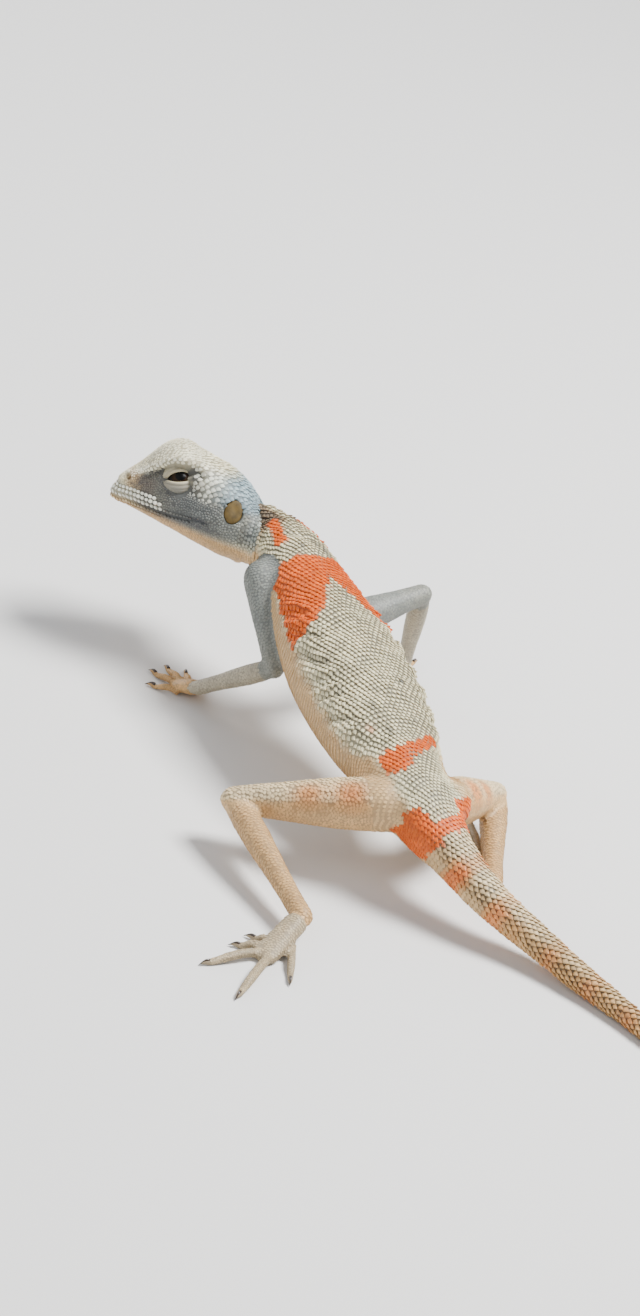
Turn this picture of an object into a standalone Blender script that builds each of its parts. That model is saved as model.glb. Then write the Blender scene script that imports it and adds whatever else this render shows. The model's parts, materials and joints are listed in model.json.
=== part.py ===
"""A Sinai agama at life size, standing on a flat floor with its head turned to its left.

Lengths are in millimetres and angles in degrees, and MM turns them into metres where a mesh is
made. The head points to -Y, the animal's left is +X, up is +Z and the floor is at z = 0. Every
piece of the body keeps GAP to the piece that it grows from.
"""
import math

import bmesh
import bpy
import numpy as np
from mathutils import Matrix, Vector

MM = 0.001
GAP = 0.3

# Stations of the spine, tail tip to neck, with the pelvis at PELVIS_STATION. Where the tail would
# sink into the floor, it is laid on it instead.
TAIL_COURSE = [
    (-20.0, 131.0, 0.0),
    (-24.5, 112.0, 0.0),
    (-27.0, 92.0, 0.0),
    (-26.5, 72.0, 0.2),
    (-23.5, 54.0, 0.8),
    (-18.7, 36.0, 1.6),
    (-15.4, 27.0, 2.2),
    (-11.2, 18.2, 3.9),
    (-5.7, 9.8, 7.4),
]
PELVIS = (-1.3, -3.7, 13.1)
TRUNK_COURSE = [(-2.7, -26.0, 16.5), (-2.8, -48.0, 22.3), (-2.4, -56.0, 23.9), (-0.6, -62.8, 24.0)]
PELVIS_STATION = len(TAIL_COURSE)

# Body sections: distance from the pelvis towards the head, half width, height above and below.
BODY_SECTIONS = [
    (-136.0, 0.35, 0.35, 0.35),
    (-100.0, 0.9, 0.9, 0.9),
    (-70.0, 1.25, 1.25, 1.25),
    (-42.0, 1.65, 1.6, 1.6),
    (-28.0, 2.3, 2.25, 2.25),
    (-18.0, 2.75, 2.65, 2.65),
    (-10.0, 3.5, 3.2, 3.3),
    (-5.0, 4.7, 4.0, 4.2),
    (0.0, 5.8, 4.7, 4.9),
    (6.0, 6.7, 5.0, 5.4),
    (13.0, 8.3, 5.6, 6.4),
    (22.0, 9.4, 6.3, 7.3),
    (31.0, 9.2, 6.4, 7.6),
    (39.0, 7.9, 5.7, 6.7),
    (46.0, 6.7, 5.0, 5.8),
    (52.0, 5.9, 4.8, 5.5),
    (57.0, 5.3, 4.5, 5.0),
    (61.0, 5.1, 4.3, 4.6),
]
BODY_ROLLS = [(-30.0, 0.0), (5.0, 2.0), (40.0, 9.0), (61.0, 13.0)]
BODY_SQUARENESS = 2.3
BODY_CUTS = [
    ("tail_tip", -106.0), ("tail_lower", -80.0), ("tail_middle", -54.0), ("tail_upper", -30.0),
    ("tail_base", -9.0), ("pelvis", 9.0), ("belly", 32.0), ("chest", 51.0), ("neck", None),
]
TAIL_STEP = 3.4
TRUNK_STEP = 2.4
TAIL_SIDES = 16
TRUNK_SIDES = 36

# Head: snout tip, the way it points, and its sections from the snout back.
SNOUT_TIP = (17.3, -75.6, 24.7)
HEAD_HEADING = -35.4
HEAD_PITCH = 4.4
HEAD_ROLL = 16.0
HEAD_SECTIONS = [
    # along, half width, top, bottom, widest height, squareness above, squareness below
    (-0.2, 0.9, -0.1, -1.5, -0.9, 2.0, 2.0),
    (0.3, 1.7, 1.0, -1.8, -0.7, 2.1, 2.0),
    (0.9, 2.2, 2.0, -2.0, -0.5, 2.2, 2.0),
    (1.8, 2.8, 3.4, -2.1, 0.0, 2.3, 2.0),
    (3.3, 3.8, 5.8, -2.3, 0.3, 2.5, 2.1),
    (5.0, 4.9, 8.2, -2.5, 0.6, 2.7, 2.2),
    (7.0, 5.8, 9.4, -2.8, 1.0, 3.0, 2.2),
    (8.6, 6.4, 9.8, -3.1, 1.3, 3.2, 2.2),
    (10.5, 6.9, 9.4, -3.4, 1.6, 3.0, 2.2),
    (13.0, 7.4, 8.9, -3.9, 1.8, 2.7, 2.2),
    (16.0, 7.8, 8.3, -4.4, 1.8, 2.4, 2.2),
    (18.5, 7.9, 7.2, -4.8, 1.5, 2.2, 2.2),
    (20.5, 8.0, 5.9, -4.7, 1.0, 2.0, 2.1),
    (22.0, 7.9, 4.4, -4.4, 0.6, 1.9, 2.1),
    (23.3, 7.4, 3.0, -4.0, 0.2, 1.8, 2.1),
]
HEAD_SIDES = 44
HEAD_RINGS = 30
BROW_LINE = [(2.0, 2.6), (3.8, 4.4), (6.1, 6.5), (8.0, 7.8), (11.0, 8.3), (13.0, 7.6)]
BROW_HEIGHT = 0.45
ORBIT_DEPTH = 1.05
LIP_HEIGHT = 0.2
JAW_MUSCLE = 0.4
# Where these swell or sink the skin: places along the head or from a line, and how far they spread.
BROW_MIDDLE = 7.5
BROW_REACH = 4.5
BROW_EDGE = 0.7
ORBIT_REACH = 3.1
ORBIT_EDGE = 1.9
UPPER_LIP = (0.6, 0.45)
LOWER_LIP = (-0.55, 0.4)
LIP_END = 15.5
LIP_FADE = 3.0
JAW_MUSCLE_PLACE = (15.0, 1.2)
JAW_MUSCLE_REACH = (3.2, 2.6)

MOUTH_LINE = [(-0.2, -1.1), (3.6, -0.65), (7.0, -0.45), (10.0, -0.25), (13.5, 0.25)]
MOUTH_GROOVE = 0.26
MOUTH_POINTS = 16
EYE = (9.25, 3.95, 4.75)
EYE_RADIUS = 1.9
LID_THICKNESS = 0.55
LID_OPENING = (1.75, 1.5, 0.62)
LID_SLOPE = 31.0
LID_RAISE = 1.15
NOSTRIL = (1.65, 2.35)
NOSTRIL_RADIUS = 0.24
NOSTRIL_DEPTH = 0.8
EAR = (18.65, 3.65)
EAR_CUP = (1.5, 1.5, 2.05)
EAR_DRUM_SHARE = 0.76
EAR_DRUM_DEPTH = 0.7
EAR_DRUM_HALF_THICKNESS = 0.3

# Joints of the limbs, the way each foot points, and how far its toes spread.
ARMS = {
    "left": dict(shoulder=(3.6, -50.0, 22.6), elbow=(4.2, -40.2, 13.2), wrist=(9.6, -51.2, 3.2),
                 heading=-88.0, spread=1.0),
    "right": dict(shoulder=(-10.3, -45.7, 17.2), elbow=(-23.9, -48.8, 19.3), wrist=(-27.2, -53.8, 3.2),
                  heading=-100.0, spread=1.0),
}
LEGS = {
    "left": dict(hip=(3.0, -4.4, 12.6), knee=(21.0, -15.6, 7.5), ankle=(20.3, 7.5, 3.3), heading=32.0,
                 spread=1.0),
    "right": dict(hip=(-5.6, -3.6, 12.4), knee=(-21.2, -13.6, 6.2), ankle=(-12.7, 3.4, 3.3),
                  heading=-106.0, spread=0.5),
}

# Limb sections: share of the segment's length, half width across the bend, half width in it.
UPPER_ARM = [(0.0, 3.1, 3.4), (0.35, 2.6, 2.7), (0.75, 1.95, 2.0), (1.0, 1.7, 1.75)]
FOREARM = [(0.0, 1.6, 1.65), (0.3, 1.7, 1.75), (0.8, 1.3, 1.35), (1.0, 1.3, 1.4)]
THIGH = [(0.0, 4.0, 4.3), (0.3, 3.8, 4.0), (0.66, 2.9, 3.1), (1.0, 2.1, 2.2)]
SHANK = [(0.0, 2.15, 2.25), (0.28, 2.2, 2.3), (0.6, 1.8, 1.9), (0.85, 1.6, 1.65), (1.0, 1.65, 1.75)]
LIMB_SIDES = 16
LIMB_STEPS = 6

# Feet: the pad from wrist or ankle to the toe roots, then each toe.
HAND_PAD = [(0.0, 1.35, 1.3), (0.5, 1.7, 1.15), (1.0, 1.9, 0.95)]
HAND_PAD_LENGTH = 4.6
HAND_TOES = [
    # forward and sideways place of the root on the pad, length, turn from the pad, radius
    (2.6, 1.3, 3.3, 48.0, 0.52),
    (4.0, 1.1, 4.5, 20.0, 0.55),
    (4.6, 0.2, 5.2, 1.0, 0.58),
    (4.3, -0.8, 5.0, -18.0, 0.56),
    (3.0, -1.4, 3.9, -46.0, 0.52),
]
FOOT_PAD = [(0.0, 1.7, 1.65), (0.45, 1.85, 1.35), (1.0, 2.05, 1.0)]
FOOT_PAD_LENGTH = 8.6
FOOT_TOES = [
    (5.4, 1.2, 2.6, 78.0, 0.58),
    (7.2, 1.2, 3.6, 56.0, 0.62),
    (8.4, 0.5, 8.8, 29.0, 0.68),
    (8.2, -0.6, 11.0, -9.5, 0.7),
    (3.6, -1.2, 8.0, -31.0, 0.6),
]
PAD_SIDES = 12
TOE_SIDES = 7
TOE_ARCH = 0.55
# Toe and claw: share of the length, then thickness and arch of the toe, or radius and height of the claw.
TOE_SHAPE = [(0.0, 1.15, 0.3), (0.3, 1.0, 1.0), (0.55, 1.08, 0.75), (0.8, 0.9, 0.15), (1.0, 0.72, 0.0)]
TOE_SHARES = (0.0, 0.2, 0.42, 0.62, 0.82, 1.0)
CLAW_SHAPE = [(0.12, 0.42, 0.52), (0.55, 0.3, 0.48)]
CLAW_LENGTH = 1.5
SOLE_FLAT = 0.12
FLOOR_REACH = 200

# Stretches of the body, by distance from the pelvis, that the head, arms and legs are cut clear of.
HEAD_SPAN_START = 45.0
ARM_SPAN_START = 20.0
LEG_SPAN = (-20.0, 30.0)

COLOURS = {
    "head": (0.47, 0.47, 0.43), "ear": (0.30, 0.20, 0.08), "eye": (0.02, 0.015, 0.01),
    "neck": (0.58, 0.40, 0.27), "chest": (0.60, 0.33, 0.18), "belly": (0.66, 0.58, 0.45),
    "pelvis": (0.66, 0.46, 0.30), "tail": (0.66, 0.54, 0.38), "arm": (0.42, 0.42, 0.40),
    "hand": (0.66, 0.44, 0.20), "leg": (0.62, 0.48, 0.33), "foot": (0.50, 0.45, 0.38),
}
SKIN_ROUGHNESS = 0.62
EYE_ROUGHNESS = 0.1


def clear_scene():
    """Remove every object of the start-up scene."""
    for thing in list(bpy.data.objects):
        bpy.data.objects.remove(thing, do_unlink=True)


def make_collection(name):
    """Return a new collection linked to the scene."""
    made = bpy.data.collections.new(name)
    bpy.context.scene.collection.children.link(made)
    return made


def make_material(name, colour, roughness):
    """Return a plain skin material of one colour."""
    material = bpy.data.materials.new(name)
    material.use_nodes = True
    shader = material.node_tree.nodes["Principled BSDF"]
    shader.inputs["Base Color"].default_value = (*colour, 1.0)
    shader.inputs["Roughness"].default_value = roughness
    shader.inputs["Metallic"].default_value = 0.0
    return material


def bell(value, centre, width):
    """Return a smooth bump, 1 at its centre."""
    return math.exp(-((value - centre) / width) ** 2)


def table_curve(rows):
    """Return a smooth function through a table whose first column rises."""
    keys = np.array([row[0] for row in rows], float)
    values = np.array([row[1:] for row in rows], float)
    slopes = np.gradient(values, keys, axis=0)

    def read(key):
        key = min(max(key, keys[0]), keys[-1])
        i = min(int(np.searchsorted(keys, key, side="right")) - 1, len(keys) - 2)
        span = keys[i + 1] - keys[i]
        t = (key - keys[i]) / span
        start = (1 + 2 * t) * (1 - t) ** 2 * values[i] + t * (1 - t) ** 2 * span * slopes[i]
        end = t * t * (3 - 2 * t) * values[i + 1] + t * t * (t - 1) * span * slopes[i + 1]
        return start + end

    return read


class Course:
    """A smooth curve through a few points, read by the distance along it."""

    def __init__(self, points, origin=0, samples=16):
        """Measure the curve, with distance 0 at the point numbered origin."""
        knots = np.array(points, float)
        rounded = table_curve([(i, *knot) for i, knot in enumerate(knots)])
        steps = np.linspace(0, len(knots) - 1, (len(knots) - 1) * samples + 1)
        self.places = np.array([rounded(step) for step in steps])
        runs = np.linalg.norm(np.diff(self.places, axis=0), axis=1)
        self.reach = np.concatenate([[0.0], np.cumsum(runs)])
        self.reach -= self.reach[origin * samples]

    def point(self, along):
        """Return the place at a distance, on a straight line beyond the ends."""
        for end, inner in ((0, 1), (-1, -2)):
            beyond = along - self.reach[end]
            if (end == 0 and beyond < 0) or (end == -1 and beyond > 0):
                run = (self.places[end] - self.places[inner]) / (self.reach[end] - self.reach[inner])
                return Vector(self.places[end] + beyond * run)
        return Vector([np.interp(along, self.reach, self.places[:, axis]) for axis in range(3)])

    def direction(self, along, reach=0.8):
        """Return the unit direction of travel at a distance."""
        return (self.point(along + reach) - self.point(along - reach)).normalized()


def loft(name, rings, start_tip, end_tip, collection):
    """Skin equal rings of points into one closed object, each end drawn to a tip point."""
    mesh = bmesh.new()
    loops = [[mesh.verts.new(Vector(point) * MM) for point in ring] for ring in rings]
    count = len(loops[0])
    for near, far in zip(loops, loops[1:]):
        for i in range(count):
            j = (i + 1) % count
            mesh.faces.new((near[i], near[j], far[j], far[i]))
    for loop, tip in ((loops[0][::-1], start_tip), (loops[-1], end_tip)):
        pole = mesh.verts.new(Vector(tip) * MM)
        for i in range(count):
            mesh.faces.new((loop[i], loop[(i + 1) % count], pole))
    bmesh.ops.recalc_face_normals(mesh, faces=mesh.faces)
    bmesh.ops.triangulate(mesh, faces=mesh.faces)
    return add_object(name, mesh, collection)


def add_object(name, mesh, collection):
    """Turn a bmesh into an object in a collection."""
    data = bpy.data.meshes.new(name)
    mesh.to_mesh(data)
    mesh.free()
    made = bpy.data.objects.new(name, data)
    collection.objects.link(made)
    return made


def ring(centre, side, up, half_side, half_up, half_down, squareness, sides):
    """Return one closed section: a rounded box that may be deeper below than above."""
    points = []
    for k in range(sides):
        angle = 2 * math.pi * (k + 0.5) / sides
        across, rise = math.cos(angle), math.sin(angle)
        depth = half_up if rise > 0 else half_down
        size = (abs(across / half_side) ** squareness + abs(rise / depth) ** squareness) ** (-1 / squareness)
        points.append(centre + side * (size * across) + up * (size * rise))
    return points


def ball(name, matrix, collection, segments=16, rings=10):
    """Add a unit sphere shaped and placed by a matrix in millimetres."""
    mesh = bmesh.new()
    bmesh.ops.create_uvsphere(mesh, u_segments=segments, v_segments=rings, radius=1.0)
    bmesh.ops.transform(mesh, matrix=Matrix.Scale(MM, 4) @ matrix, verts=mesh.verts)
    bmesh.ops.recalc_face_normals(mesh, faces=mesh.faces)
    bmesh.ops.triangulate(mesh, faces=mesh.faces)
    return add_object(name, mesh, collection)


def block(name, low, high, collection):
    """Add a box between two corners in millimetres."""
    mesh = bmesh.new()
    bmesh.ops.create_cube(mesh, size=1.0)
    low, high = Vector(low), Vector(high)
    place = Matrix.Translation((low + high) / 2) @ Matrix.Diagonal((*(high - low), 1.0))
    bmesh.ops.transform(mesh, matrix=Matrix.Scale(MM, 4) @ place, verts=mesh.verts)
    return add_object(name, mesh, collection)


def apply_boolean(target, operation, others):
    """Join or cut an object with a list of closed objects, which are then removed."""
    tools = make_collection(target.name + "_tools")
    for other in others:
        for owner in list(other.users_collection):
            owner.objects.unlink(other)
        tools.objects.link(other)
    modifier = target.modifiers.new("join", "BOOLEAN")
    modifier.operation = operation
    modifier.operand_type = "COLLECTION"
    modifier.collection = tools
    modifier.solver = "EXACT"
    settled = target.evaluated_get(bpy.context.evaluated_depsgraph_get())
    data = bpy.data.meshes.new_from_object(settled)
    target.modifiers.clear()
    target.data = data
    for other in others:
        bpy.data.objects.remove(other, do_unlink=True)
    bpy.data.collections.remove(tools)
    keep_largest(target)


def keep_largest(thing):
    """Merge doubled points and keep only the object's largest closed surface."""
    mesh = bmesh.new()
    mesh.from_mesh(thing.data)
    bmesh.ops.remove_doubles(mesh, verts=mesh.verts, dist=0.002 * MM)
    bmesh.ops.dissolve_degenerate(mesh, edges=mesh.edges, dist=0.002 * MM)
    bmesh.ops.triangulate(mesh, faces=mesh.faces)
    islands, seen = [], set()
    for first in mesh.verts:
        if first in seen:
            continue
        island, front = [], [first]
        seen.add(first)
        while front:
            vert = front.pop()
            island.append(vert)
            for edge in vert.link_edges:
                other = edge.other_vert(vert)
                if other not in seen:
                    seen.add(other)
                    front.append(other)
        islands.append(island)
    islands.sort(key=len)
    for island in islands[:-1]:
        bmesh.ops.delete(mesh, geom=island, context="VERTS")
    mesh.to_mesh(thing.data)
    mesh.free()


def finish(thing, colour_name, roughness=SKIN_ROUGHNESS):
    """Give a piece its own material and smooth shading with its sharp edges kept."""
    thing.data.materials.clear()
    thing.data.materials.append(make_material(thing.name + "_skin", COLOURS[colour_name], roughness))
    thing.data.shade_smooth()
    thing.data.set_sharp_from_angle(angle=math.radians(40))


class Body:
    """Trunk, neck and tail: one lofted form along the spine, cut into lengths."""

    def __init__(self):
        """Lay out the spine and its sections."""
        self.spine = Course(TAIL_COURSE + [PELVIS] + TRUNK_COURSE, PELVIS_STATION)
        self.section = table_curve(BODY_SECTIONS)
        self.roll = table_curve(BODY_ROLLS)
        self.tip = self.spine.reach[0]
        self.end = self.spine.reach[-1]

    def frame(self, along):
        """Return the place, left direction and up direction at a distance from the pelvis."""
        ahead = self.spine.direction(along)
        side = Vector((0, 0, 1)).cross(ahead).normalized()
        up = ahead.cross(side)
        turn = Matrix.Rotation(math.radians(float(self.roll(along)[0])), 3, ahead)
        place = self.spine.point(along)
        place.z = max(place.z, float(self.section(along)[2]) - SOLE_FLAT)
        return place, turn @ side, turn @ up

    def section_ring(self, along, grow, sides):
        """Return the section at a distance, grown outwards by grow."""
        centre, side, up = self.frame(along)
        width, above, below = self.section(along)
        return ring(centre, side, up, width + grow, above + grow, below + grow, BODY_SQUARENESS, sides)

    def length(self, name, start, end, step, sides, collection, grow=0.0):
        """Loft the body between two distances, with nearly flat ends."""
        count = max(3, round((end - start) / step) + 1)
        stations = np.linspace(start, end, count)
        rings = [self.section_ring(along, grow, sides) for along in stations]
        return loft(name, rings, self.frame(start)[0], self.frame(end)[0], collection)

    def build(self, collection):
        """Build every length between its cuts, GAP apart."""
        start = self.tip
        made = []
        for name, cut in BODY_CUTS:
            end = self.end if cut is None else cut - GAP / 2
            tail = name.startswith("tail")
            step, sides = (TAIL_STEP, TAIL_SIDES) if tail else (TRUNK_STEP, TRUNK_SIDES)
            piece = self.length(name, start, end, step, sides, collection)
            made.append(piece)
            start = end + GAP
        return made

    def cutter(self, start, end, collection):
        """Return the same form between two distances, grown by GAP all round."""
        return self.length("body_cutter", start - GAP, end + GAP, TRUNK_STEP, TRUNK_SIDES, collection, GAP)


class Head:
    """Skull, jaws, lids and ear cups, modelled along the head's own axes."""

    def __init__(self):
        """Lay out the head's frame, sections and lines."""
        heading, pitch = math.radians(HEAD_HEADING), math.radians(HEAD_PITCH)
        ahead = Vector((math.cos(pitch) * math.cos(heading), math.cos(pitch) * math.sin(heading),
                        math.sin(pitch)))
        side = Vector((0, 0, 1)).cross(ahead).normalized()
        turn = Matrix.Rotation(math.radians(HEAD_ROLL), 3, ahead)
        side = turn @ side
        up = ahead.cross(side)
        self.axes = Matrix((-ahead, side, up)).transposed()
        self.section = table_curve(HEAD_SECTIONS)
        self.mouth = table_curve(MOUTH_LINE)
        self.brow = table_curve(BROW_LINE)

    def world(self, along, across, rise):
        """Return the world place of a place given from the snout tip."""
        return Vector(SNOUT_TIP) + self.axes @ Vector((along, across, rise))

    def local(self, along, angle):
        """Return the skin's place at a distance from the snout and an angle round the section."""
        width, top, bottom, widest, square_above, square_below = self.section(along)
        across, rise = math.cos(angle), math.sin(angle)
        depth = top - widest if rise > 0 else widest - bottom
        square = square_above if rise > 0 else square_below
        size = (abs(across / width) ** square + abs(rise / depth) ** square) ** (-1 / square)
        height = widest + size * rise
        brow = float(self.brow(along)[0])
        swell = BROW_HEIGHT * bell(height, brow, BROW_EDGE) * bell(along, BROW_MIDDLE, BROW_REACH)
        swell -= ORBIT_DEPTH * bell(along, EYE[0], ORBIT_REACH) * bell(height, EYE[2], ORBIT_EDGE)
        line = float(self.mouth(along)[0])
        lips = sum(bell(height, line + place, reach) for place, reach in (UPPER_LIP, LOWER_LIP))
        if along < LIP_END:
            swell += LIP_HEIGHT * lips * (1 - bell(along, LIP_END, LIP_FADE))
        jaw = bell(along, JAW_MUSCLE_PLACE[0], JAW_MUSCLE_REACH[0])
        swell += JAW_MUSCLE * jaw * bell(height, JAW_MUSCLE_PLACE[1], JAW_MUSCLE_REACH[1])
        size += swell * abs(across) ** 0.5
        return Vector((along, size * across, widest + size * rise))

    def angle_at(self, along, height):
        """Return the angle on the left side where the skin has a height."""
        angles = np.linspace(-1.5, 1.5, 121)
        heights = [self.local(along, angle).z for angle in angles]
        return float(np.interp(height, heights, angles))

    def skin(self, along, height, side):
        """Return the place and outward direction of the skin at a height on one side."""
        angle = self.angle_at(along, height)
        place = self.local(along, angle)
        ahead = self.local(along + 0.2, angle) - self.local(along - 0.2, angle)
        above = self.local(along, angle + 0.03) - self.local(along, angle - 0.03)
        out = ahead.cross(above).normalized()
        if out.y < 0:
            out = -out
        return Vector((place.x, side * place.y, place.z)), Vector((out.x, side * out.y, out.z))

    def place(self, spot, out, slope=0.0):
        """Return a matrix whose Y runs out of the skin at a spot, turned by slope about it."""
        ahead = (Vector((1, 0, 0)) - out * out.x).normalized()
        up = ahead.cross(out)
        if up.z < 0:
            up = -up
        local = Matrix((ahead, out, up)).transposed()
        local = local @ Matrix.Rotation(slope, 3, "Y")
        turned = (self.axes @ local).to_4x4()
        return Matrix.Translation(self.world(*spot)) @ turned

    def build(self, neck_cutter, collection):
        """Build the head with its mouth line, nostrils, ear cups and lids, and its eyes and drums."""
        first, last = HEAD_SECTIONS[0][0], HEAD_SECTIONS[-1][0]
        shares = np.linspace(0, 1, HEAD_RINGS)
        stations = first + (last - first) * shares ** 1.25
        angles = [2 * math.pi * (k + 0.5) / HEAD_SIDES for k in range(HEAD_SIDES)]
        rings = [[self.world(*self.local(along, angle)) for angle in angles] for along in stations]
        snout, nape = self.world(first - 0.2, 0, -0.9), self.world(last + 0.4, 0, 0.6)
        head = loft("head", rings, snout, nape, collection)
        eyes, lids, cuts, drums = [], [], [self.mouth_groove(collection)], []
        for side, word in ((1, "left"), (-1, "right")):
            centre = Vector((EYE[0], side * EYE[1], EYE[2]))
            lids.append(self.globe("lid", centre, EYE_RADIUS + GAP + LID_THICKNESS, collection))
            cuts.append(self.globe("socket", centre, EYE_RADIUS + GAP, collection))
            cuts.append(self.lid_opening(centre, side, collection))
            cuts.append(self.nostril(side, collection))
            cup, drum = self.ear(side, word, collection)
            cuts.append(cup)
            drums.append(drum)
            eyes.append(self.globe("eye_" + word, centre, EYE_RADIUS, collection))
        apply_boolean(head, "UNION", lids)
        apply_boolean(head, "DIFFERENCE", cuts + [neck_cutter])
        finish(head, "head")
        for eye in eyes:
            finish(eye, "eye", EYE_ROUGHNESS)
        for drum in drums:
            finish(drum, "ear")

    def globe(self, name, centre, radius, collection):
        """Add a sphere at a place in the head."""
        matrix = Matrix.Translation(self.world(*centre)) @ self.axes.to_4x4()
        return ball(name, matrix @ Matrix.Scale(radius, 4), collection)

    def lid_opening(self, centre, side, collection):
        """Add the almond that opens the lids, raised as the lower lid covers most of the eye."""
        slope = math.radians(LID_SLOPE)
        spot = centre + Vector((0, side * (EYE_RADIUS + 0.6), LID_RAISE))
        matrix = Matrix.Translation(self.world(*spot)) @ self.axes.to_4x4()
        matrix = matrix @ Matrix.Rotation(-slope, 4, "Y")
        return ball("lid_opening", matrix @ Matrix.Diagonal((*LID_OPENING, 1.0)), collection)

    def nostril(self, side, collection):
        """Add the round pit of one nostril."""
        spot, out = self.skin(*NOSTRIL, side)
        size = Matrix.Diagonal((NOSTRIL_RADIUS, NOSTRIL_DEPTH, NOSTRIL_RADIUS, 1.0))
        return ball("nostril", self.place(spot, out) @ size, collection, 8, 6)

    def ear(self, side, word, collection):
        """Add the cutter of an ear cup and the drum that lies in it."""
        spot, out = self.skin(*EAR, side)
        cup = ball("ear_cup", self.place(spot, out) @ Matrix.Diagonal((*EAR_CUP, 1.0)), collection)
        sunk = spot - out * EAR_DRUM_DEPTH
        size = (EAR_CUP[0] * EAR_DRUM_SHARE, EAR_DRUM_HALF_THICKNESS, EAR_CUP[2] * EAR_DRUM_SHARE, 1.0)
        drum = ball("ear_" + word, self.place(sunk, out) @ Matrix.Diagonal(size), collection, 14, 6)
        return cup, drum

    def mouth_groove(self, collection):
        """Add the tube that runs round the lips from one corner of the mouth to the other."""
        stations = np.linspace(MOUTH_LINE[-1][0], MOUTH_LINE[0][0] + 0.05, MOUTH_POINTS)
        left = [self.skin(along, float(self.mouth(along)[0]), 1)[0] for along in stations]
        right = [Vector((spot.x, -spot.y, spot.z)) for spot in reversed(left)]
        curve = bpy.data.curves.new("mouth_groove", "CURVE")
        curve.dimensions = "3D"
        curve.bevel_depth = MOUTH_GROOVE * MM
        curve.bevel_resolution = 1
        curve.use_fill_caps = True
        spline = curve.splines.new("POLY")
        spline.points.add(len(left) + len(right) - 1)
        for point, spot in zip(spline.points, left + right):
            point.co = (*(self.world(*spot) * MM), 1.0)
        tube = bpy.data.objects.new("mouth_tube", curve)
        collection.objects.link(tube)
        settled = tube.evaluated_get(bpy.context.evaluated_depsgraph_get())
        mesh = bmesh.new()
        mesh.from_mesh(bpy.data.meshes.new_from_object(settled))
        bpy.data.objects.remove(tube, do_unlink=True)
        bmesh.ops.remove_doubles(mesh, verts=mesh.verts, dist=0.002 * MM)
        bmesh.ops.recalc_face_normals(mesh, faces=mesh.faces)
        return add_object("mouth_groove", mesh, collection)


def segment(name, start, end, table, out, collection, grow=0.0, sides=LIMB_SIDES):
    """Loft a limb's segment from joint to joint, with a round end past each joint."""
    start, end, out = Vector(start), Vector(end), Vector(out)
    ahead = (end - start).normalized()
    side = ahead.cross(out).normalized()
    up = side.cross(ahead)
    read = table_curve(table)
    stations = []
    for share in np.linspace(0, 1, LIMB_STEPS + 1):
        across, within = read(share)
        stations.append((start.lerp(end, share), across + grow, within + grow))
    domes = []
    for place, across, within, way in ((*stations[0], -1), (*stations[-1], 1)):
        reach = (across + within) / 2
        dome = []
        for tilt in (28.0, 54.0, 76.0):
            shrink, push = math.cos(math.radians(tilt)), math.sin(math.radians(tilt))
            dome.append((place + ahead * (way * reach * push), across * shrink, within * shrink))
        domes.append((dome, place + ahead * (way * reach)))
    laid = list(reversed(domes[0][0])) + stations + domes[1][0]
    rings = [ring(place, side, up, across, within, within, 2.0, sides) for place, across, within in laid]
    return loft(name, rings, domes[0][1], domes[1][1], collection)


def toe(name, root, heading, length, radius, collection):
    """Loft one toe that arches from its root and ends in a claw on the floor."""
    ahead = Vector((math.cos(math.radians(heading)), math.sin(math.radians(heading)), 0))
    side = Vector((-ahead.y, ahead.x, 0))
    shape = table_curve(TOE_SHAPE)
    rings = []
    for share in TOE_SHARES:
        size, arch = shape(share)
        height = radius * size - SOLE_FLAT + TOE_ARCH * arch
        centre = Vector((root[0], root[1], height)) + ahead * (length * share)
        rings.append(ring(centre, side, Vector((0, 0, 1)), radius * size, radius * size, radius * size,
                          2.0, TOE_SIDES))
    for share, size, height in CLAW_SHAPE:
        centre = Vector((root[0], root[1], height)) + ahead * (length + CLAW_LENGTH * share)
        rings.append(ring(centre, side, Vector((0, 0, 1)), size, size, size, 2.0, TOE_SIDES))
    back = Vector((root[0], root[1], radius)) - ahead * radius * 0.5
    tip = Vector((root[0], root[1], SOLE_FLAT)) + ahead * (length + CLAW_LENGTH)
    return loft(name, rings, back, tip, collection)


def foot(name, joint, heading, spread, pad, pad_length, toes, mirror, collection):
    """Build a pad with its toes on the floor, joined into one piece."""
    angle = math.radians(heading)
    ahead = Vector((math.cos(angle), math.sin(angle), 0))
    side = Vector((-ahead.y, ahead.x, 0)) * mirror
    end = Vector((joint[0], joint[1], 0)) + ahead * pad_length
    end.z = pad[-1][2] - SOLE_FLAT
    piece = segment(name, joint, end, pad, (0, 0, 1), collection, sides=PAD_SIDES)
    made = []
    for number, (along, across, length, turn, radius) in enumerate(toes, 1):
        root = Vector((joint[0], joint[1], 0)) + ahead * along + side * across
        turned = heading + mirror * turn * spread
        made.append(toe("%s_toe_%d" % (name, number), root, turned, length, radius, collection))
    apply_boolean(piece, "UNION", made)
    return piece


def build_limb(names, joints, tables, pad, side, body, collection):
    """Build one limb: two segments and a foot, each cut clear of the one before."""
    root, bend, end = (Vector(joints[key]) for key in names["joints"])
    out = (bend - root).cross(end - bend)
    upper = segment(names["upper"] + side, root, bend, tables[0], out, collection)
    apply_boolean(upper, "DIFFERENCE", [body.cutter(*names["span"], collection)])
    lower = segment(names["lower"] + side, bend, end, tables[1], out, collection)
    grown = segment("upper_cutter", root, bend, tables[0], out, collection, GAP)
    apply_boolean(lower, "DIFFERENCE", [grown])
    mirror = -1 if side == "left" else 1
    sole = foot(names["foot"] + side, end, joints["heading"], joints["spread"], *pad, mirror, collection)
    grown = segment("lower_cutter", bend, end, tables[1], out, collection, GAP)
    apply_boolean(sole, "DIFFERENCE", [grown, floor_cutter(collection)])
    finish(upper, names["colour"])
    finish(lower, names["colour"])
    finish(sole, names["foot_colour"])


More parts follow.
